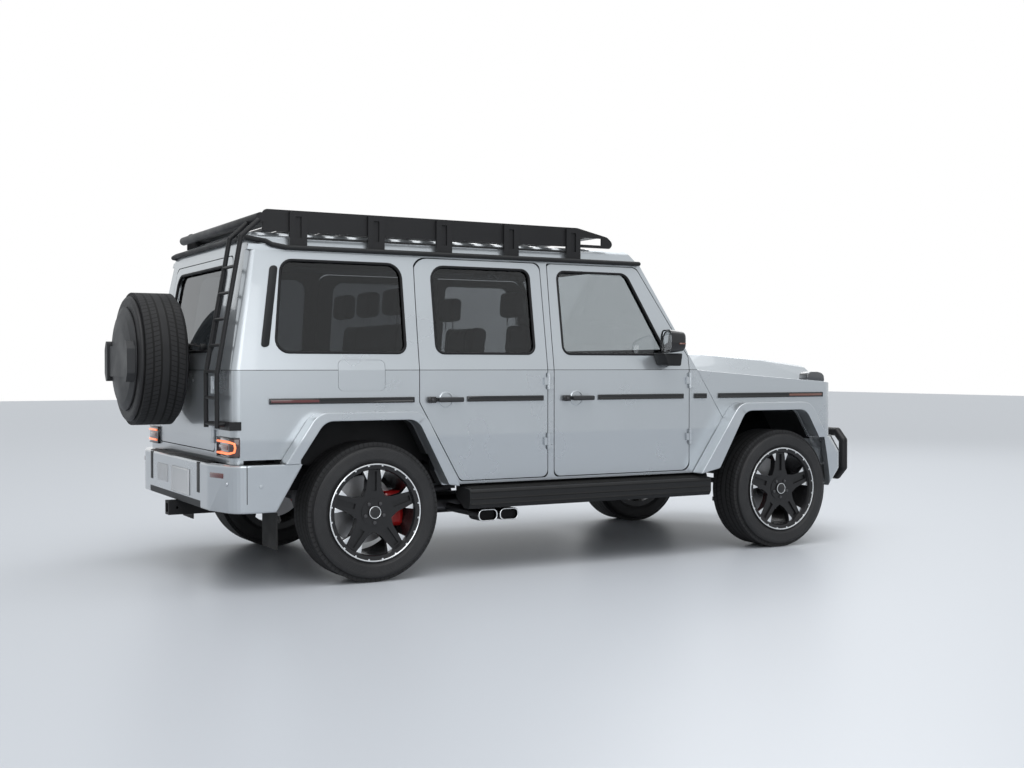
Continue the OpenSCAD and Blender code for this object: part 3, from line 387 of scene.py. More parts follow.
def rubber_tyre(name, centre):
    """Tyre rubber with ribs across the tread and rings on the sidewall, about its own wheel centre; its grooves and
    sipes are also painted near black as painted shade.
    """
    mat = bpy.data.materials.new(name)
    mat.use_nodes = True
    tree = mat.node_tree
    bsdf = tree.nodes["Principled BSDF"]
    spare = name.endswith("spare")
    place = put(tree, "ShaderNodeTexCoord").outputs["Object"]
    local = put(tree, "ShaderNodeVectorMath", {0: place, 1: centre}, operation="SUBTRACT").outputs[0]
    xyz = put(tree, "ShaderNodeSeparateXYZ", {0: local})
    across, axial = (xyz.outputs[1], xyz.outputs[0]) if spare else (xyz.outputs[0], xyz.outputs[1])
    radius = maths(tree, "SQRT", maths(tree, "ADD", maths(tree, "POWER", across, 2.0),
                                       maths(tree, "POWER", xyz.outputs[2], 2.0)))
    angle = put(tree, "ShaderNodeMath", {0: across, 1: xyz.outputs[2]}, operation="ARCTAN2").outputs[0]
    off = maths(tree, "ABSOLUTE", axial)
    slant = maths(tree, "ADD", maths(tree, "MULTIPLY", angle, 84 / (2 * math.pi)), maths(tree, "MULTIPLY", off, 12.0))
    sipe = maths(tree, "LESS_THAN", maths(tree, "FRACT", slant), 0.14)
    sipe = maths(tree, "MULTIPLY", sipe, maths(tree, "GREATER_THAN", off, 0.026))
    near, far = (maths(tree, "LESS_THAN", maths(tree, "ABSOLUTE", maths(tree, "SUBTRACT", off, at)), 0.0055)
                 for at in (0.024, 0.068))
    groove = maths(tree, "MAXIMUM", near, far)
    on_tread = maths(tree, "GREATER_THAN", radius, 0.366)
    rings = maths(tree, "MULTIPLY", maths(tree, "SINE", maths(tree, "MULTIPLY", radius, 900.0)), 0.12)
    bsdf.inputs["Specular IOR Level"].default_value = 0.28
    g = put(tree, "ShaderNodeGroup", node_tree=RUBBER_GRAIN)
    tread_cut_and_shade = maths(tree, "MULTIPLY", on_tread, maths(tree, "MAXIMUM", sipe, maths(tree, "MULTIPLY", groove, 1.6)))
    relief = put(tree, "ShaderNodeMix", {0: on_tread, 2: rings, 3: maths(tree, "MULTIPLY", tread_cut_and_shade, -1.0)}).outputs[0]
    bump = put(tree, "ShaderNodeBump", {"Height": relief, "Strength": 0.9, "Distance": 0.005,
                                        "Normal": g.outputs["Normal"]}).outputs[0]
    color = put(tree, "ShaderNodeMix", {0: g.outputs["Broad"], 6: (0.015, 0.015, 0.016, 1), 7: (0.030, 0.030, 0.031, 1)},
                data_type="RGBA").outputs[2]
    # The tread's cuts are painted near black: painted shade in the grooves and sipes.
    color = put(tree, "ShaderNodeMix", {0: tread_cut_and_shade, 6: color, 7: (0.004, 0.004, 0.004, 1)}, data_type="RGBA").outputs[2]
    tree.links.new(color, bsdf.inputs["Base Color"])
    rough = put(tree, "ShaderNodeMix", {0: on_tread, 2: 0.5, 3: 0.72}).outputs[0]
    tree.links.new(rough, bsdf.inputs["Roughness"])
    tree.links.new(bump, bsdf.inputs["Normal"])
    return mat


def wheel_black(name, centre, side):
    """Gloss black rim whose brake disc shows as bare turned steel."""
    mat = bpy.data.materials.new(name)
    mat.use_nodes = True
    tree = mat.node_tree
    bsdf = tree.nodes["Principled BSDF"]
    place = put(tree, "ShaderNodeTexCoord").outputs["Object"]
    xyz = put(tree, "ShaderNodeSeparateXYZ", {0: put(tree, "ShaderNodeVectorMath", {0: place, 1: centre},
                                                     operation="SUBTRACT").outputs[0]})
    radius = maths(tree, "SQRT", maths(tree, "ADD", maths(tree, "POWER", xyz.outputs[0], 2.0),
                                       maths(tree, "POWER", xyz.outputs[2], 2.0)))
    inboard = maths(tree, "LESS_THAN", maths(tree, "MULTIPLY", xyz.outputs[1], side), -0.055)
    steel = maths(tree, "MULTIPLY", inboard, maths(tree, "LESS_THAN", radius, 0.195))
    lathe = maths(tree, "SINE", maths(tree, "MULTIPLY", radius, 3000.0))
    bsdf.inputs["Specular IOR Level"].default_value = 0.35
    g = put(tree, "ShaderNodeGroup", node_tree=FLAKES)
    color = put(tree, "ShaderNodeMix", {0: steel, 6: (0.012, 0.012, 0.013, 1), 7: (0.42, 0.42, 0.43, 1)},
                data_type="RGBA").outputs[2]
    tree.links.new(color, bsdf.inputs["Base Color"])
    tree.links.new(put(tree, "ShaderNodeMix", {0: steel, 2: 0.24, 3: 0.4}).outputs[0], bsdf.inputs["Roughness"])
    tree.links.new(steel, bsdf.inputs["Metallic"])
    bump = put(tree, "ShaderNodeBump", {"Height": maths(tree, "MULTIPLY", lathe, steel), "Strength": 0.15,
                                        "Distance": 0.0005, "Normal": g.outputs["Normal"]}).outputs[0]
    tree.links.new(bump, bsdf.inputs["Normal"])
    return mat


def glow(name, color, strength):
    mat = material(name, color, 0.2, GLAZE)
    bsdf = mat.node_tree.nodes["Principled BSDF"]
    bsdf.inputs["Emission Color"].default_value = (*color, 1)
    bsdf.inputs["Emission Strength"].default_value = strength
    return mat


FLAKES = grain("paint_flakes", 2600, 0.002, 3.0)
BODY_LINES = body_lines()
GLAZE = grain("glaze_streaks", 60, 0.0, 5.0)
MOULDED = grain("moulded_grain", 900, 0.25, 6.0)
POWDER = grain("powder_coat", 1400, 0.35, 5.0)
RUBBER_GRAIN = grain("rubber_grain", 700, 0.2, 9.0)
CAST = grain("cast_skin", 260, 0.5, 4.0)
HIDE = grain("leather_grain", 420, 0.45, 7.0)
LATHED = grain("turned_lines", 220, 0.12, 8.0, (1, 6, 1))

BODY_PAINT = paint("body_paint", cabin_side_mask)
LID_PAINT = paint("lid_paint", underside_mask)
PLAIN_PAINT = paint("plain_paint")
BUMPER_PAINT = paint("bumper_paint", bumper_mask)
DULL = {"Specular_IOR_Level": 0.25}
SATIN_BLACK = material("satin_black", (0.012, 0.012, 0.013), 0.42, POWDER, vary=0.25, **DULL)
TRIM_BLACK = material("trim_black", (0.013, 0.0135, 0.0145), 0.5, MOULDED, vary=0.2, **DULL)
GLOSS_BLACK = material("gloss_black", (0.010, 0.010, 0.011), 0.14, FLAKES, vary=0.1, rough_vary=0.03,
                       Specular_IOR_Level=0.4, Coat_Weight=0.25)
DARK_GREY = material("dark_grey", (0.034, 0.035, 0.037), 0.46, MOULDED, vary=0.15, **DULL)
SEAL = material("window_seal", (0.008, 0.008, 0.009), 0.6, RUBBER_GRAIN, vary=0.2, **DULL)
FLAP = material("flap_rubber", (0.014, 0.014, 0.014), 0.7, RUBBER_GRAIN, vary=0.3, **DULL)
CHASSIS = material("chassis_black", (0.012, 0.012, 0.013), 0.6, CAST, vary=0.35, rough_vary=0.15, **DULL)
IRON = material("axle_iron", (0.055, 0.055, 0.058), 0.5, CAST, metal=0.4, vary=0.3)
ALLOY = material("engine_alloy", (0.36, 0.37, 0.38), 0.45, CAST, metal=0.9, vary=0.2)
DARK_STEEL = material("exhaust_dark", (0.10, 0.10, 0.105), 0.36, LATHED, metal=1.0, vary=0.25)
BRIGHT = material("bright_metal", (0.74, 0.75, 0.76), 0.22, LATHED, metal=1.0, vary=0.06)
MIRROR = material("mirror_face", (0.82, 0.84, 0.86), 0.04, GLAZE, metal=1.0, vary=0.02, rough_vary=0.01)
RED_CALIPER = material("caliper_red", (0.40, 0.012, 0.012), 0.3, CAST, vary=0.2, Coat_Weight=0.5)
LEATHER = material("seat_leather", (0.026, 0.026, 0.028), 0.46, HIDE, vary=0.25)
DASH = material("dash_plastic", (0.028, 0.029, 0.031), 0.58, MOULDED, vary=0.2)
BLANK = material("blank_plate", (0.58, 0.59, 0.60), 0.4, MOULDED, vary=0.05)
CLEAR_LENS = material("clear_lens", (0.66, 0.69, 0.72), 0.12, GLAZE, metal=0.5, vary=0.08, Coat_Weight=1.0)
RED_LENS = material("red_lens", (0.10, 0.006, 0.006), 0.14, GLAZE, vary=0.2, Coat_Weight=1.0)
AMBER_LENS = material("amber_lens", (0.15, 0.050, 0.030), 0.2, GLAZE, vary=0.1, Coat_Weight=1.0)
RED_GLOW = glow("lamp_glow", (1.0, 0.24, 0.10), 0.95)
WHITE_GLOW = glow("daylight_ring", (0.9, 0.95, 1.0), 0.9)
CLEAR_GLASS = glass("front_glass", (0.60, 0.62, 0.63))
DARK_GLASS = glass("rear_glass", (0.20, 0.21, 0.22))
FIXED_GLASS = glass("fixed_glass", (0.16, 0.17, 0.18), (0.68, 0.71, 0.72))
SMOKED_LENS = material("smoked_lens", (0.055, 0.058, 0.062), 0.16, GLAZE, metal=0.35, vary=0.15, Coat_Weight=1.0)
DARK_LAMP = material("dark_lamp", (0.045, 0.010, 0.009), 0.12, GLAZE, vary=0.2, Coat_Weight=1.0)
# Near black for the radiator and the exhaust tips' plugs: painted shade of the engine bay and the pipes.
SHADE_BLACK = material("painted_shade_black", (0.004, 0.004, 0.0045), 0.8, RUBBER_GRAIN, vary=0.2, **DULL)

FINISHES = {
    "body_sides": BODY_PAINT, "rear_panel": BODY_PAINT, "tailgate": BODY_PAINT,
    "door_front_right": BODY_PAINT, "door_front_left": BODY_PAINT,
    "door_rear_right": BODY_PAINT, "door_rear_left": BODY_PAINT,
    "roof_panel": LID_PAINT, "bonnet": LID_PAINT,
    "front_fenders": PLAIN_PAINT, "arch_flares": PLAIN_PAINT, "fuel_flap": PLAIN_PAINT,
    "front_bumper": BUMPER_PAINT, "rear_bumper": BUMPER_PAINT,
    "cowl_panel": TRIM_BLACK, "grille_panel": GLOSS_BLACK, "front_lamps": CLEAR_LENS, "tail_lamps": RED_LENS,
    "brush_guard": SATIN_BLACK, "roof_rack": SATIN_BLACK, "ladder": SATIN_BLACK,
    "chassis_frame": CHASSIS, "tow_hitch": CHASSIS, "floor_tub": CHASSIS, "side_steps": TRIM_BLACK,
    "exhaust": DARK_STEEL, "mud_flaps": FLAP, "powertrain": ALLOY, "rear_axle": IRON, "front_suspension": IRON,
    "knuckle_right": IRON, "knuckle_left": IRON, "dashboard": DASH, "seats": LEATHER,
    "mirror_right": GLOSS_BLACK, "mirror_left": GLOSS_BLACK, "spare_cover": DARK_GREY,
    "arch_liners": TRIM_BLACK, "gutters": TRIM_BLACK,
    "fixed_glass": FIXED_GLASS, "glass_tailgate": DARK_GLASS,
    "glass_front_right": CLEAR_GLASS, "glass_front_left": CLEAR_GLASS,
    "glass_rear_right": DARK_GLASS, "glass_rear_left": DARK_GLASS,
}
for axle, axle_x in AXLES.items():
    for side, s in SIDES.items():
        centre = (axle_x, s * HUB_Y, HUB_Z)
        FINISHES[f"tyre_{axle}_{side}"] = rubber_tyre(f"tyre_{axle}_{side}", centre)
        FINISHES[f"rim_{axle}_{side}"] = wheel_black(f"rim_{axle}_{side}", centre, s)
FINISHES["spare_tyre"] = rubber_tyre("tyre_spare", middle("spare_tyre"))
for name, obj in nodes.items():
    obj.data.materials.clear()
    obj.data.materials.append(FINISHES[name])

for name, width in {"arch_flares": 0.006, "front_bumper": 0.008, "rear_bumper": 0.010, "side_steps": 0.004,
                    "bonnet": 0.003, "front_fenders": 0.002, "roof_rack": 0.0015}.items():
    soften(name, width)


# Wheels
def wheel_trim(axle, side):
    """The bright lip, the bright wedges at the spokes' ends, the cap and the bolts of one wheel."""
    s = SIDES[side]
    x, face = AXLES[axle], s * (HUB_Y + 0.1325)
    tag = f"{axle}_{side}"
    body = f"wheel_{axle}_{side}"
    lip = ring(f"wheel_lip_{tag}", (x, face - s * 0.001, HUB_Z), "Y", 0.2665, 0.0045)
    parts = [lip]
    for k in range(5):
        turn = math.radians(90 + 72 * k)
        for edge in (-1, 1):
            corners = [(0.180, 0.0425), (0.2445, 0.0340), (0.2445, 0.0715), (0.230, 0.0680)]
            outline = [(x + r * math.cos(turn) - edge * t * math.sin(turn),
                        HUB_Z + r * math.sin(turn) + edge * t * math.cos(turn)) for r, t in corners]
            face_y = s * (HUB_Y + 0.108)
            parts.append(slab("wedge", outline, "Y", face_y - s * 0.001, face_y + s * 0.004, 0.0012))
    for k in range(20):
        angle = math.radians(18 * k + 9)
        tooth = [(x + r * math.cos(angle + d), HUB_Z + r * math.sin(angle + d))
                 for r, d in ((0.2625, -0.022), (0.2625, 0.022), (0.2555, 0.014), (0.2555, -0.014))]
        parts.append(slab("tooth", tooth, "Y", face - s * 0.006, face - s * 0.001, 0.0))
    finish_piece(join(parts, f"wheel_bright_{tag}"), body, BRIGHT)
    cap = disc(f"wheel_cap_{tag}", (x, s * (HUB_Y + 0.115), HUB_Z), "Y", 0.037, 0.016, 40, 0.004)
    finish_piece(cap, body, GLOSS_BLACK)
    band = ring(f"wheel_cap_ring_{tag}", (x, s * (HUB_Y + 0.1215), HUB_Z), "Y", 0.033, 0.0022, 40)
    finish_piece(band, body, BRIGHT)
    bolts = []
    for k in range(5):
        a = math.radians(54 + 72 * k)
        bolts.append(disc("bolt", (x + 0.057 * math.cos(a), s * (HUB_Y + 0.114), HUB_Z + 0.057 * math.sin(a)), "Y",
                          0.0105, 0.012, 6, 0.0015))
    finish_piece(join(bolts, f"wheel_bolts_{tag}"), body, IRON, 25)


for axle in AXLES:
    for side in SIDES:
        wheel_trim(axle, side)


def caliper(axle, side):
    """The red caliper that stands over the brake disc."""
    s = SIDES[side]
    lead = 1 if axle == "rear" else -1
    x = AXLES[axle] + lead * 0.172
    obj = box(f"caliper_{axle}_{side}", (x - 0.064, s * 0.712, HUB_Z - 0.100), (x + 0.064, s * 0.806, HUB_Z + 0.100),
              0.014, 3)
    sink(obj, lambda c, n: n.y * s > 0.9, 0.018, (0, s * 0.004, 0))
    body = "body" if axle == "rear" else f"knuckle_{side}"
    finish_piece(obj, body, RED_CALIPER)


for axle in AXLES:
    for side in SIDES:
        caliper(axle, side)


# Side trim, one set for each side
def door_body(part, side):
    return "body" if part in ("quarter", "fender", "badge") else f"door_{part}_{side}"


STRIPS = {"quarter": (-580, 267), "rear": (602, 1110), "front": (1499, 2140), "badge": (2227, 2323),
          "fender": (2420, 3306)}


def rub_strip(part, side):
    s = SIDES[side]
    x0, x1 = STRIPS[part]
    obj = box(f"rub_strip_{part}_{side}", car(x0, s * 878, 984), car(x1, s * 892, 1016), 0.003, 2)
    sink(obj, lambda c, n: n.y * s > 0.9, 0.006, (0, -s * 0.003, 0))
    finish_piece(obj, door_body(part, side), GLOSS_BLACK)
    if part in ("quarter", "fender"):
        lo, hi = (-572, -300) if part == "quarter" else (3010, 3298)
        lens = box(f"marker_{part}_{side}", car(lo, s * 886, 992), car(hi, s * 890.5, 1008), 0.0015, 2)
        finish_piece(lens, "body",
                     RED_LENS if part == "quarter" else AMBER_LENS)


def handle(part, side):
    s = SIDES[side]
    x0, x1, xr = (347, 563, 467) if part == "rear" else (1242, 1449, 1345)
    body = f"door_{part}_{side}"
    dish = disc(f"handle_dish_{part}_{side}", car(xr, s * 881, 998), "Y", 0.046, 0.006, 40, 0.002)
    sink(dish, lambda c, n: n.y * s > 0.9, 0.006, (0, -s * 0.0035, 0))
    finish_piece(dish, body, PLAIN_PAINT)
    bar = box("bar", car(x0 + 58, s * 905, 984), car(x1, s * 927, 1012), 0.007, 3)
    legs = [box("leg", car(x0 + 60, s * 878, 986), car(x0 + 88, s * 920, 1010), 0.004),
            box("leg", car(x1 - 26, s * 878, 986), car(x1 - 4, s * 920, 1010), 0.004)]
    finish_piece(join([bar, *legs], f"handle_bar_{part}_{side}"), body, DARK_GREY)
    lock = box(f"handle_lock_{part}_{side}", car(x0, s * 878, 980), car(x0 + 50, s * 908, 1016), 0.006, 3)
    finish_piece(lock, body, GLOSS_BLACK)
    knob = disc(f"handle_knob_{part}_{side}", car(x0 + 25, s * 909, 998), "Y", 0.009, 0.006, 24, 0.002)
    finish_piece(knob, body, IRON)


def rim_loop(node, facing, lift, where=lambda c: True):
    """The outline of the glass face that looks along facing, as a ring of points moved by lift."""
    bm = bmesh.new()
    bm.from_mesh(nodes[node].data)
    bmesh.ops.remove_doubles(bm, verts=bm.verts, dist=0.0001)
    bm.normal_update()
    outer = {f for f in bm.faces if f.normal.dot(facing) > 0.7 and where(f.calc_center_median())}
    after = {}
    for f in outer:
        for loop in f.loops:
            if all(g not in outer for g in loop.edge.link_faces if g is not f):
                after[loop.vert.index] = loop.link_loop_next.vert.index
    bm.verts.ensure_lookup_table()
    start = min(after)
    ring_of, here = [start], after[start]
    while here != start:
        ring_of.append(here)
        here = after[here]
    points = [bm.verts[k].co + lift for k in ring_of]
    bm.free()
    return points


def seal(tag, points, thick, body):
    """A rubber seal that follows a window's outline."""
    finish_piece(tube(f"seal_{tag}", points, thick, closed=True), body, SEAL, 60)


def vent_strip(side):
    """The black strip behind the quarter window, leaning as the side does."""
    s = SIDES[side]
    obj = box(f"vent_strip_{side}", car(-618, s * 852, 1290), car(-573, s * 864, 1732), 0.0)
    edit(obj)
    pick(obj, lambda c, n: c.z > 1.5, "VERT")
    bpy.ops.transform.translate(value=(0.074, -s * 0.072, 0))
    pick(obj, lambda c, d: abs(d.y) > 0.8, "EDGE")
    bpy.ops.mesh.bevel(offset=0.020, segments=5)
    pick(obj, lambda c, n: n.y * s > 0.8)
    bpy.ops.mesh.inset(thickness=0.005)
    bpy.ops.transform.translate(value=(0, s * 0.003, 0))
    done()
    finish_piece(obj, "body", TRIM_BLACK)


for side in SIDES:
    for part in STRIPS:
        rub_strip(part, side)
    for part in ("rear", "front"):
        handle(part, side)
        out = Vector((0, SIDES[side], 0))
        seal(f"{part}_{side}", rim_loop(f"glass_{part}_{side}", out, out * 0.010), 0.008, f"door_{part}_{side}")
    quarter = rim_loop("fixed_glass", out, out * 0.010, lambda c: c.x < AXLES["rear"] + 0.6)
    seal(f"quarter_{side}", quarter, 0.008, "body")
    vent_strip(side)
screen_way = Vector((0.87, 0, 0.49))
seal("windscreen", rim_loop("fixed_glass", screen_way, screen_way * 0.004, lambda c: c.x > 0), 0.010, "body")
seal("tailgate", rim_loop("glass_tailgate", Vector((-1, 0, 0)), Vector((-0.014, 0, 0.002))), 0.009, "tailgate")


# Rear lamps: a dark lens with a rounded outer corner in a thin frame, with a glowing loop
def lamp_plan(side, x_rear, x_front, y_in, y_out, corner, steps=6):
    """The outline from above of a block whose outer rear corner is rounded."""
    s = SIDES[side]
    plan = [(x_front, y_in), (x_rear, y_in)]
    for n in range(steps + 1):
        a = math.pi / 2 * n / steps
        plan.append((x_rear + corner * (1 - math.cos(a)), y_out - corner + corner * math.sin(a)))
    plan.append((x_front, y_out))
    return [tuple(car(x, s * y, 0))[:2] for x, y in plan]


def tail_lamp(side):
    s = SIDES[side]
    lens = slab(f"tail_lamp_{side}", lamp_plan(side, -792, -738, 643, 887, 40), "Z", 0.709, 0.807, 0.005)
    finish_piece(lens, "body", DARK_LAMP)
    frames = [slab("edge", lamp_plan(side, -794, -742, 637.5, 889.5, 41), "Z", lo, hi, 0.0015)
              for lo, hi in ((0.7045, 0.7115), (0.8045, 0.8115))]
    frames.append(box("edge", car(-794, s * 637.5, 704.5), car(-742, s * 646, 811.5), 0.0015))
    finish_piece(join(frames, f"lamp_frame_{side}"), "body", GLOSS_BLACK)
    path = [(-795, 665, 789), (-795, 840, 789), (-788, 866, 787), (-770, 884, 780), (-766, 886, 758),
            (-770, 884, 736), (-788, 866, 729), (-795, 840, 727), (-795, 665, 727)]
    bar = tube(f"lamp_glow_{side}", [car(x, s * y, z) for x, y, z in path], 0.0062)
    finish_piece(bar, "body", RED_GLOW, 60)
    inner = box(f"lamp_inner_{side}", car(-795, s * 690, 746), car(-790, s * 838, 770), 0.002)
    finish_piece(inner, "body", AMBER_LENS)
    return lens


lenses = [tail_lamp(side) for side in SIDES]
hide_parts("tail_lamps")


# Rear bumper: blank plates, recesses, reflectors, sensors, seams and tread pad
def rear_bumper_trim():
    plate = box("blank_plate_rear", car(-867, -342, 465), car(-861, 33, 612), 0.002)
    sink(plate, lambda c, n: n.x < -0.9, 0.008, (0.001, 0, 0))
    finish_piece(plate, "body", BLANK)
    pale = box("blank_panel_rear", car(-864, 137, 507), car(-859.5, 368, 607), 0.0015)
    finish_piece(pale, "body", BLANK)
    pad_piece = box("bumper_tread_pad", car(-848, -600, 667.5), car(-785, 600, 673), 0.002)
    ribs = [box("rib", car(-842 + 12 * k, -590, 672), car(-837 + 12 * k, 590, 675.5), 0.001) for k in range(5)]
    finish_piece(join([pad_piece, *ribs], "bumper_tread_pad"), "body", TRIM_BLACK)
    for side, s in SIDES.items():
        recess = box(f"bumper_recess_{side}", car(-861.5, s * 490, 500), car(-855, s * 545, 667), 0.001)
        finish_piece(recess, "body", TRIM_BLACK)
        start, end = car(-853, s * 725, 0), car(-820, s * 850, 0)
        out = Vector((end.y - start.y, start.x - end.x, 0)).normalized() * (-s * 0.0028)
        plan = [start + out, end + out, end - out * 2, start - out * 2]
        lens = slab(f"rear_reflector_{side}", [(q.x, q.y) for q in plan], "Z", 0.598, 0.624, 0.0012)
        finish_piece(lens, "body", RED_LENS)
        seam = box(f"bumper_seam_{side}", car(-728, s * 958, 466), car(-724.5, s * 963.6, 667))
        finish_piece(seam, "body", TRIM_BLACK)
        tips = [disc("tip", car(-650, s * 963, 555), "Y", 0.011, 0.006, 24, 0.002),
                disc("tip", car(-811, s * 884, 569), "X", 0.011, 0.008, 24, 0.002)]
        finish_piece(join(tips, f"bumper_sensors_{side}"), "body", PLAIN_PAINT)


rear_bumper_trim()


def rear_door_trim():
    """The handle and the wiper of the rear door."""
    grip = box("rear_handle", car(-800, 540, 930), car(-779, 605, 962), 0.006, 3)
    sink(grip, lambda c, n: n.x < -0.9, 0.008, (0.004, 0, 0))
    finish_piece(grip, "tailgate", GLOSS_BLACK)
    hub = disc("rear_wiper_hub", car(-771, -300, 1296), "X", 0.020, 0.034, 32, 0.004)
    arm = tube("arm", [car(-786, -300, 1298), car(-785, -120, 1310), car(-783, 60, 1316)], 0.0055)
    blade = box("blade", car(-778, -160, 1303), car(-766, 240, 1321), 0.004)
    finish_piece(join([hub, arm, blade], "rear_wiper"), "tailgate", TRIM_BLACK)


rear_door_trim()


# Mirrors: a rounded housing over a foot on the door, with its glass turned in to the driver
def round_outline(wide, high, corner, steps=6):
    """A rectangle's outline about the middle with rounded corners."""
    points = []
    for k, (cy, cz) in enumerate(((1, 1), (-1, 1), (-1, -1), (1, -1))):
        for n in range(steps + 1):
            a = math.pi / 2 * (k + n / steps)
            points.append((cy * (wide / 2 - corner) + corner * math.cos(a),
                           cz * (high / 2 - corner) + corner * math.sin(a)))
    return points


def mirror(side):
    s = SIDES[side]
    body = f"door_front_{side}"
    shell = slab("shell", round_outline(0.186, 0.146, 0.050), "X", -0.048, 0.056)
    edit(shell)
    pick(shell, lambda c, n: c.x > 0, "VERT")
    bpy.ops.transform.resize(value=(1, 0.84, 0.82), center_override=(0.056, 0, 0))
    pick(shell, lambda c, n: n.x > 0.9)
    bpy.ops.mesh.bevel(offset=0.018, segments=3)
    pick(shell, lambda c, n: n.x < -0.9)
    bpy.ops.mesh.inset(thickness=0.006)
    bpy.ops.mesh.extrude_region_move(TRANSFORM_OT_translate={"value": (0.006, 0, 0)})
    done()
    face = slab("face", round_outline(0.168, 0.128, 0.042), "X", -0.0455, -0.0425, 0.001)
    lens = box("lens", (0.004, s * 0.074, -0.020), (0.046, s * 0.0915, -0.010), 0.002)
    turned = ((shell, f"mirror_{side}_shell", "black_trim", GLOSS_BLACK), (face, f"mirror_glass_{side}", "glass", MIRROR),
              (lens, f"mirror_lamp_{side}", "clear_lens", AMBER_LENS))
    for obj, name, slot_name, finish in turned:
        obj.location = car(1994, s * 977, 1343)
        obj.rotation_euler = (0, 0, math.radians(14 * s))
        finish_piece(settle(obj, name), body, finish)
    foot = slab(f"mirror_foot_{side}", [tuple(car(x, 0, z).xz) for x, z in ((1912, 1268), (1938, 1196), (2040, 1190),
                                                                            (2052, 1270))],
                "Y", s * 0.868, s * 1.000, 0.010, 3)
    finish_piece(foot, body, TRIM_BLACK)
    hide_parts(f"mirror_{side}")


for side in SIDES:
    mirror(side)


# Behind the grille: the radiator, which closes the view through the engine bay; its near-black finish is partly painted
# shade of the engine bay
def radiator():
    core = box("core", car(3372, -440, 640), car(3398, 440, 1035), 0.004)
    tubes = [box("tube", car(3396, -430, 652 + 24 * k), car(3402, 430, 662 + 24 * k), 0.0015) for k in range(16)]
    finish_piece(join([core, *tubes], "radiator"), "body", SHADE_BLACK)


radiator()


# Front lamps: bezel, daylight ring and lens; the fender's indicator
def headlamp(side):
    s = SIDES[side]
    bezel = ring(f"lamp_bezel_{side}", car(3436, s * 585, 925), "X", 0.096, 0.009, 64)
    finish_piece(bezel, "body", GLOSS_BLACK)
    halo = ring(f"lamp_halo_{side}", car(3441, s * 585, 925), "X", 0.078, 0.005, 64)
    finish_piece(halo, "body", WHITE_GLOW)
    eye_piece = disc(f"lamp_eye_{side}", car(3441, s * 585, 925), "X", 0.046, 0.012, 48, 0.005)
    finish_piece(eye_piece, "body", GLOSS_BLACK)
    lens = disc(f"lamp_lens_{side}", car(3447, s * 585, 925), "X", 0.034, 0.010, 40, 0.004)
    finish_piece(lens, "body", CLEAR_LENS)


for side in SIDES:
    headlamp(side)


def indicator(side):
    """The smoked dome over the turn lamp on the fender."""
    s = SIDES[side]
    dome = slab(f"indicator_{side}", [tuple(car(x, 0, z).xz) for x, z in ((3204, 1096), (3366, 1084), (3362, 1128), (3340, 1146),
                                                                          (3300, 1154), (3240, 1154), (3208, 1138))],
                "Y", s * 0.755, s * 0.845, 0.012, 4)
    finish_piece(dome, "body", SMOKED_LENS)


for side in SIDES:
    indicator(side)


def exhaust_tips(side):
    """The bright lip of each side's two oval tips, and a near-black plug inside each as painted shade of the pipe."""
    s = SIDES[side]
    for k, x in enumerate((725, 865)):
        oval = [(car(x, 0, 326).x + a, 0.326 + b) for a, b in round_outline(0.118, 0.064, 0.028)]
        lip = tube(f"tip_lip_{side}_{k}", [(a, s * 0.905, b) for a, b in oval], 0.0042, closed=True)
        finish_piece(lip, "body", BRIGHT, 60)
        # The plug is painted shade: a near-black sheet where the pipe's inside lies in shade.
        inside = [(car(x, 0, 326).x + a * 0.93, 0.326 + b * 0.88) for a, b in round_outline(0.118, 0.064, 0.028)]
        plug = slab(f"tip_inside_{side}_{k}", inside, "Y", s * 0.836, s * 0.880)
        finish_piece(plug, "body", SHADE_BLACK)


def sill_skirt(side):
    """The dark sill that closes the view between the body and the side step."""
    s = SIDES[side]
    skirt = box(f"sill_skirt_{side}", car(585, s * 772, 436), car(2292, s * 780, 534), 0.003)
    finish_piece(skirt, "body", TRIM_BLACK)


for side in SIDES:
    exhaust_tips(side)
    sill_skirt(side)


def step_ribs(side):
    """Mouldings along the side step's edge, and rubber ribs on its top, which slopes out a little."""
    s = SIDES[side]
    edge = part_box("side_steps")[1][1]
    ribs = [tube("moulding", [car(585, s * (edge * 1000 - 2), z), car(2290, s * (edge * 1000 - 2), z)], 0.006)
            for z in (468, 430, 398)]
    for k in range(4):
        y = 830 + 34 * k
        top = 496 - (y - 790) * 12 / 175
        ribs.append(box("rib", car(600, s * y, top - 1), car(2276, s * (y + 14), top + 3.5), 0.0015))
    finish_piece(join(ribs, f"step_ribs_{side}"), "body", FLAP)


for side in SIDES:
    step_ribs(side)


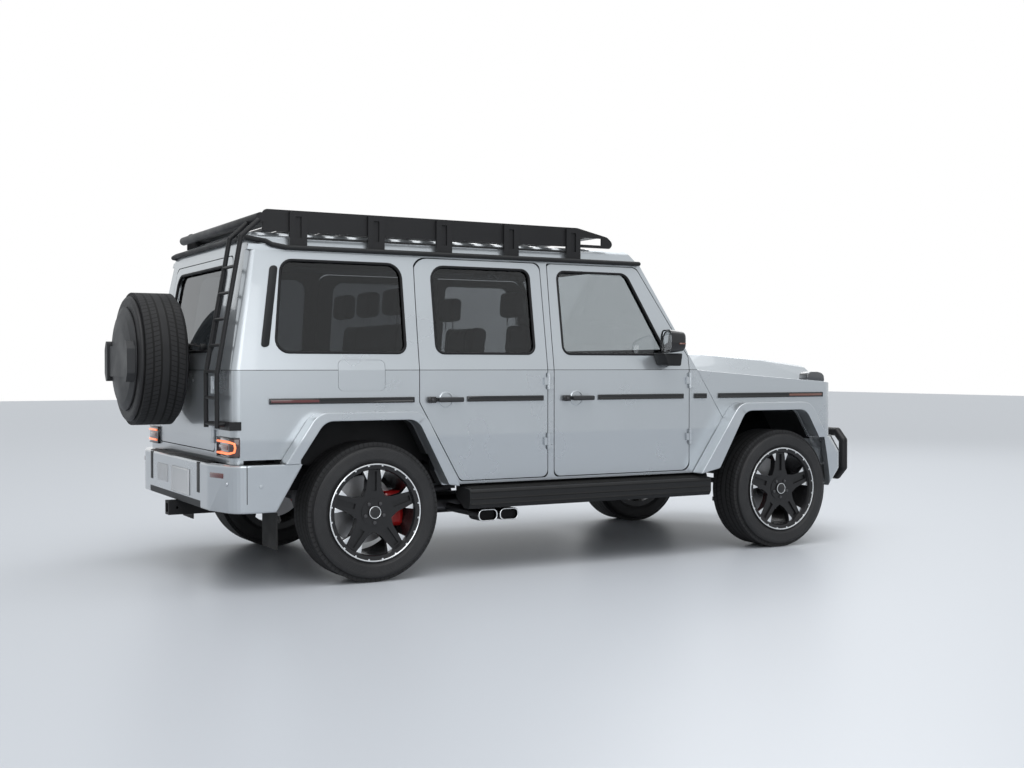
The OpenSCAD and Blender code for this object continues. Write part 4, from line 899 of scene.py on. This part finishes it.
# Seats: padded pieces over plain bases
def pad(name, lo, hi, lean=0.0, pivot=None, seams=(), swell=0.014):
    """A stuffed pad of the given box, swollen by a cloth simulation, with its seams pulled in, then leaned back."""
    obj = box(name, lo, hi, 0.028, 3)
    edit(obj)
    bpy.ops.mesh.select_all(action="SELECT")
    bpy.ops.mesh.subdivide(number_cuts=2)
    done()
    m = obj.modifiers.new("remesh", "REMESH")
    m.mode, m.voxel_size = "VOXEL", 0.010
    only(obj)
    bpy.ops.object.modifier_apply(modifier=m.name)
    before = [v.co.copy() for v in obj.data.vertices]
    cloth = obj.modifiers.new("cloth", "CLOTH")
    cloth.settings.use_pressure = True
    cloth.settings.uniform_pressure_force = 4
    cloth.settings.effector_weights.gravity = 0
    for step in range(1, 15):
        bpy.context.scene.frame_set(step)
    only(obj)
    bpy.ops.object.modifier_apply(modifier=cloth.name)
    bpy.context.scene.frame_set(1)
    for v, start in zip(obj.data.vertices, before):
        move = v.co - start
        if move.length > swell:
            v.co = start + move.normalized() * swell
    for axis, at in seams:
        for v in obj.data.vertices:
            off = abs(v.co[axis] - at)
            if off < 0.016:
                v.co -= v.normal * 0.009 * (1 - (off / 0.016) ** 2)
    m = obj.modifiers.new("smooth", "SUBSURF")
    m.levels = m.render_levels = 1
    only(obj)
    bpy.ops.object.modifier_apply(modifier=m.name)
    if lean:
        edit(obj)
        bpy.ops.mesh.select_all(action="SELECT")
        bpy.ops.transform.rotate(value=lean, orient_axis="Y", center_override=pivot)
        done()
    finish_piece(obj, "body", LEATHER, 60)
    return obj


def seat(tag, x, y0, y1, front):
    mid = (y0 + y1) / 2
    wide = abs(y1 - y0)
    pieces = []
    seams = [(1, mid / 1000 - wide * 0.00028), (1, mid / 1000 + wide * 0.00028)]
    seams += [(0, car(x + 190, 0, 0).x), (0, car(x + 340, 0, 0).x)]
    pieces.append(pad(f"cushion_{tag}", car(x + 45, y0 + 15, 868), car(x + 515, y1 - 15, 978), seams=seams))
    seams = [(1, mid / 1000 - wide * 0.00026), (1, mid / 1000 + wide * 0.00026), (2, 1.13), (2, 1.28)]
    pieces.append(pad(f"backrest_{tag}", car(x - 30, y0 + 20, 960), car(x + 75, y1 - 20, 1462), math.radians(-7),
                      car(x + 20, mid, 960), seams=seams))
    heads = [mid] if front else [-400, 0, 400]
    for k, y in enumerate(heads):
        pieces.append(pad(f"headrest_{tag}_{k}", car(x - 88, y - 118, 1495), car(x - 10, y + 118, 1650),
                          math.radians(-4), car(x - 50, y, 1480), swell=0.010))
        posts = [disc("post", car(x - 48, y + d, 1480), "Z", 0.006, 0.07, 16) for d in (-55, 55)]
        finish_piece(join(posts, f"headrest_posts_{tag}_{k}"), "body", BRIGHT)
    base = box(f"seat_base_{tag}", car(x + 45, y0 + 45, 666), car(x + 470, y1 - 45, 872), 0.012, 3)
    sink(base, lambda c, n: abs(n.y) > 0.9, 0.03, (0, 0, 0))
    finish_piece(base, "body", DASH)
    return pieces


seat_pieces = seat("driver", 1190, 190, 690, True) + seat("passenger", 1190, -690, -190, True)
seat_pieces += seat("bench", 400, -620, 620, False)
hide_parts("seats")


# Floor, light and camera
bpy.ops.mesh.primitive_plane_add(size=80)
floor = settle(bpy.context.object, "floor")
floor_finish = bpy.data.materials.new("pale_floor")
floor_finish.use_nodes = True
floor_finish.node_tree.nodes["Principled BSDF"].inputs["Base Color"].default_value = (0.52, 0.545, 0.58, 1)
floor_finish.node_tree.nodes["Principled BSDF"].inputs["Roughness"].default_value = 0.38
floor.data.materials.append(floor_finish)


def softbox(name, place, aim, wide, high, power, color=(1, 1, 1)):
    lamp = bpy.data.lights.new(name, "AREA")
    lamp.shape, lamp.size, lamp.size_y, lamp.energy, lamp.color = "RECTANGLE", wide, high, power, color
    obj = bpy.data.objects.new(name, lamp)
    bpy.context.scene.collection.objects.link(obj)
    obj.location = place
    obj.rotation_euler = (Vector(aim) - Vector(place)).to_track_quat("-Z", "Y").to_euler()


softbox("overhead", (0.5, -1.0, 6.0), (0, 0, 0.8), 8, 5, 150)
softbox("wall_side", (-3.0, -9.5, 3.6), (0, 0, 0.9), 9, 4, 230, (0.96, 0.98, 1))
softbox("windows", (7.5, 6.0, 7.5), (0, 0, 1.0), 7, 4, 260)
daylight = bpy.data.lights.new("daylight", "SUN")
daylight.energy, daylight.angle = 1.3, math.radians(50)
sky = bpy.data.objects.new("daylight", daylight)
bpy.context.scene.collection.objects.link(sky)
sky.rotation_euler = Vector((0.25, 0.45, -1)).to_track_quat("-Z", "Y").to_euler()

world = bpy.data.worlds.new("studio")
bpy.context.scene.world = world
world.use_nodes = True
tree = world.node_tree
for n in list(tree.nodes):
    tree.nodes.remove(n)
path = put(tree, "ShaderNodeLightPath")
seen = maths(tree, "MAXIMUM", path.outputs["Is Camera Ray"],
             maths(tree, "MAXIMUM", path.outputs["Is Glossy Ray"], path.outputs["Is Transmission Ray"]))
soft = put(tree, "ShaderNodeBackground", {0: (0.90, 0.93, 0.97, 1), 1: 0.5}).outputs[0]
white = put(tree, "ShaderNodeBackground", {0: (1, 1, 1, 1), 1: 1.0}).outputs[0]
pale = put(tree, "ShaderNodeBackground", {0: (0.95, 0.98, 1, 1), 1: 0.85}).outputs[0]
shiny = maths(tree, "MULTIPLY", path.outputs["Is Glossy Ray"], maths(tree, "SUBTRACT", 1.0, path.outputs["Is Camera Ray"]))
bright = put(tree, "ShaderNodeMixShader", {0: shiny, 1: white, 2: pale}).outputs[0]
mixed = put(tree, "ShaderNodeMixShader", {0: seen, 1: soft, 2: bright}).outputs[0]
put(tree, "ShaderNodeOutputWorld", {0: mixed})

camera = bpy.data.cameras.new("camera")
camera.lens, camera.sensor_width = 45.28, 36.0
eye = bpy.data.objects.new("camera", camera)
bpy.context.scene.collection.objects.link(eye)
eye.location = car(-2785.4, -7483.6, 1183.5)
yaw, pitch = math.radians(29.157), math.radians(-0.752)
look = Vector((math.sin(yaw) * math.cos(pitch), math.cos(yaw) * math.cos(pitch), math.sin(pitch)))
eye.rotation_euler = look.to_track_quat("-Z", "Y").to_euler()
bpy.context.scene.camera = eye
bpy.context.scene.view_settings.view_transform = "Standard"
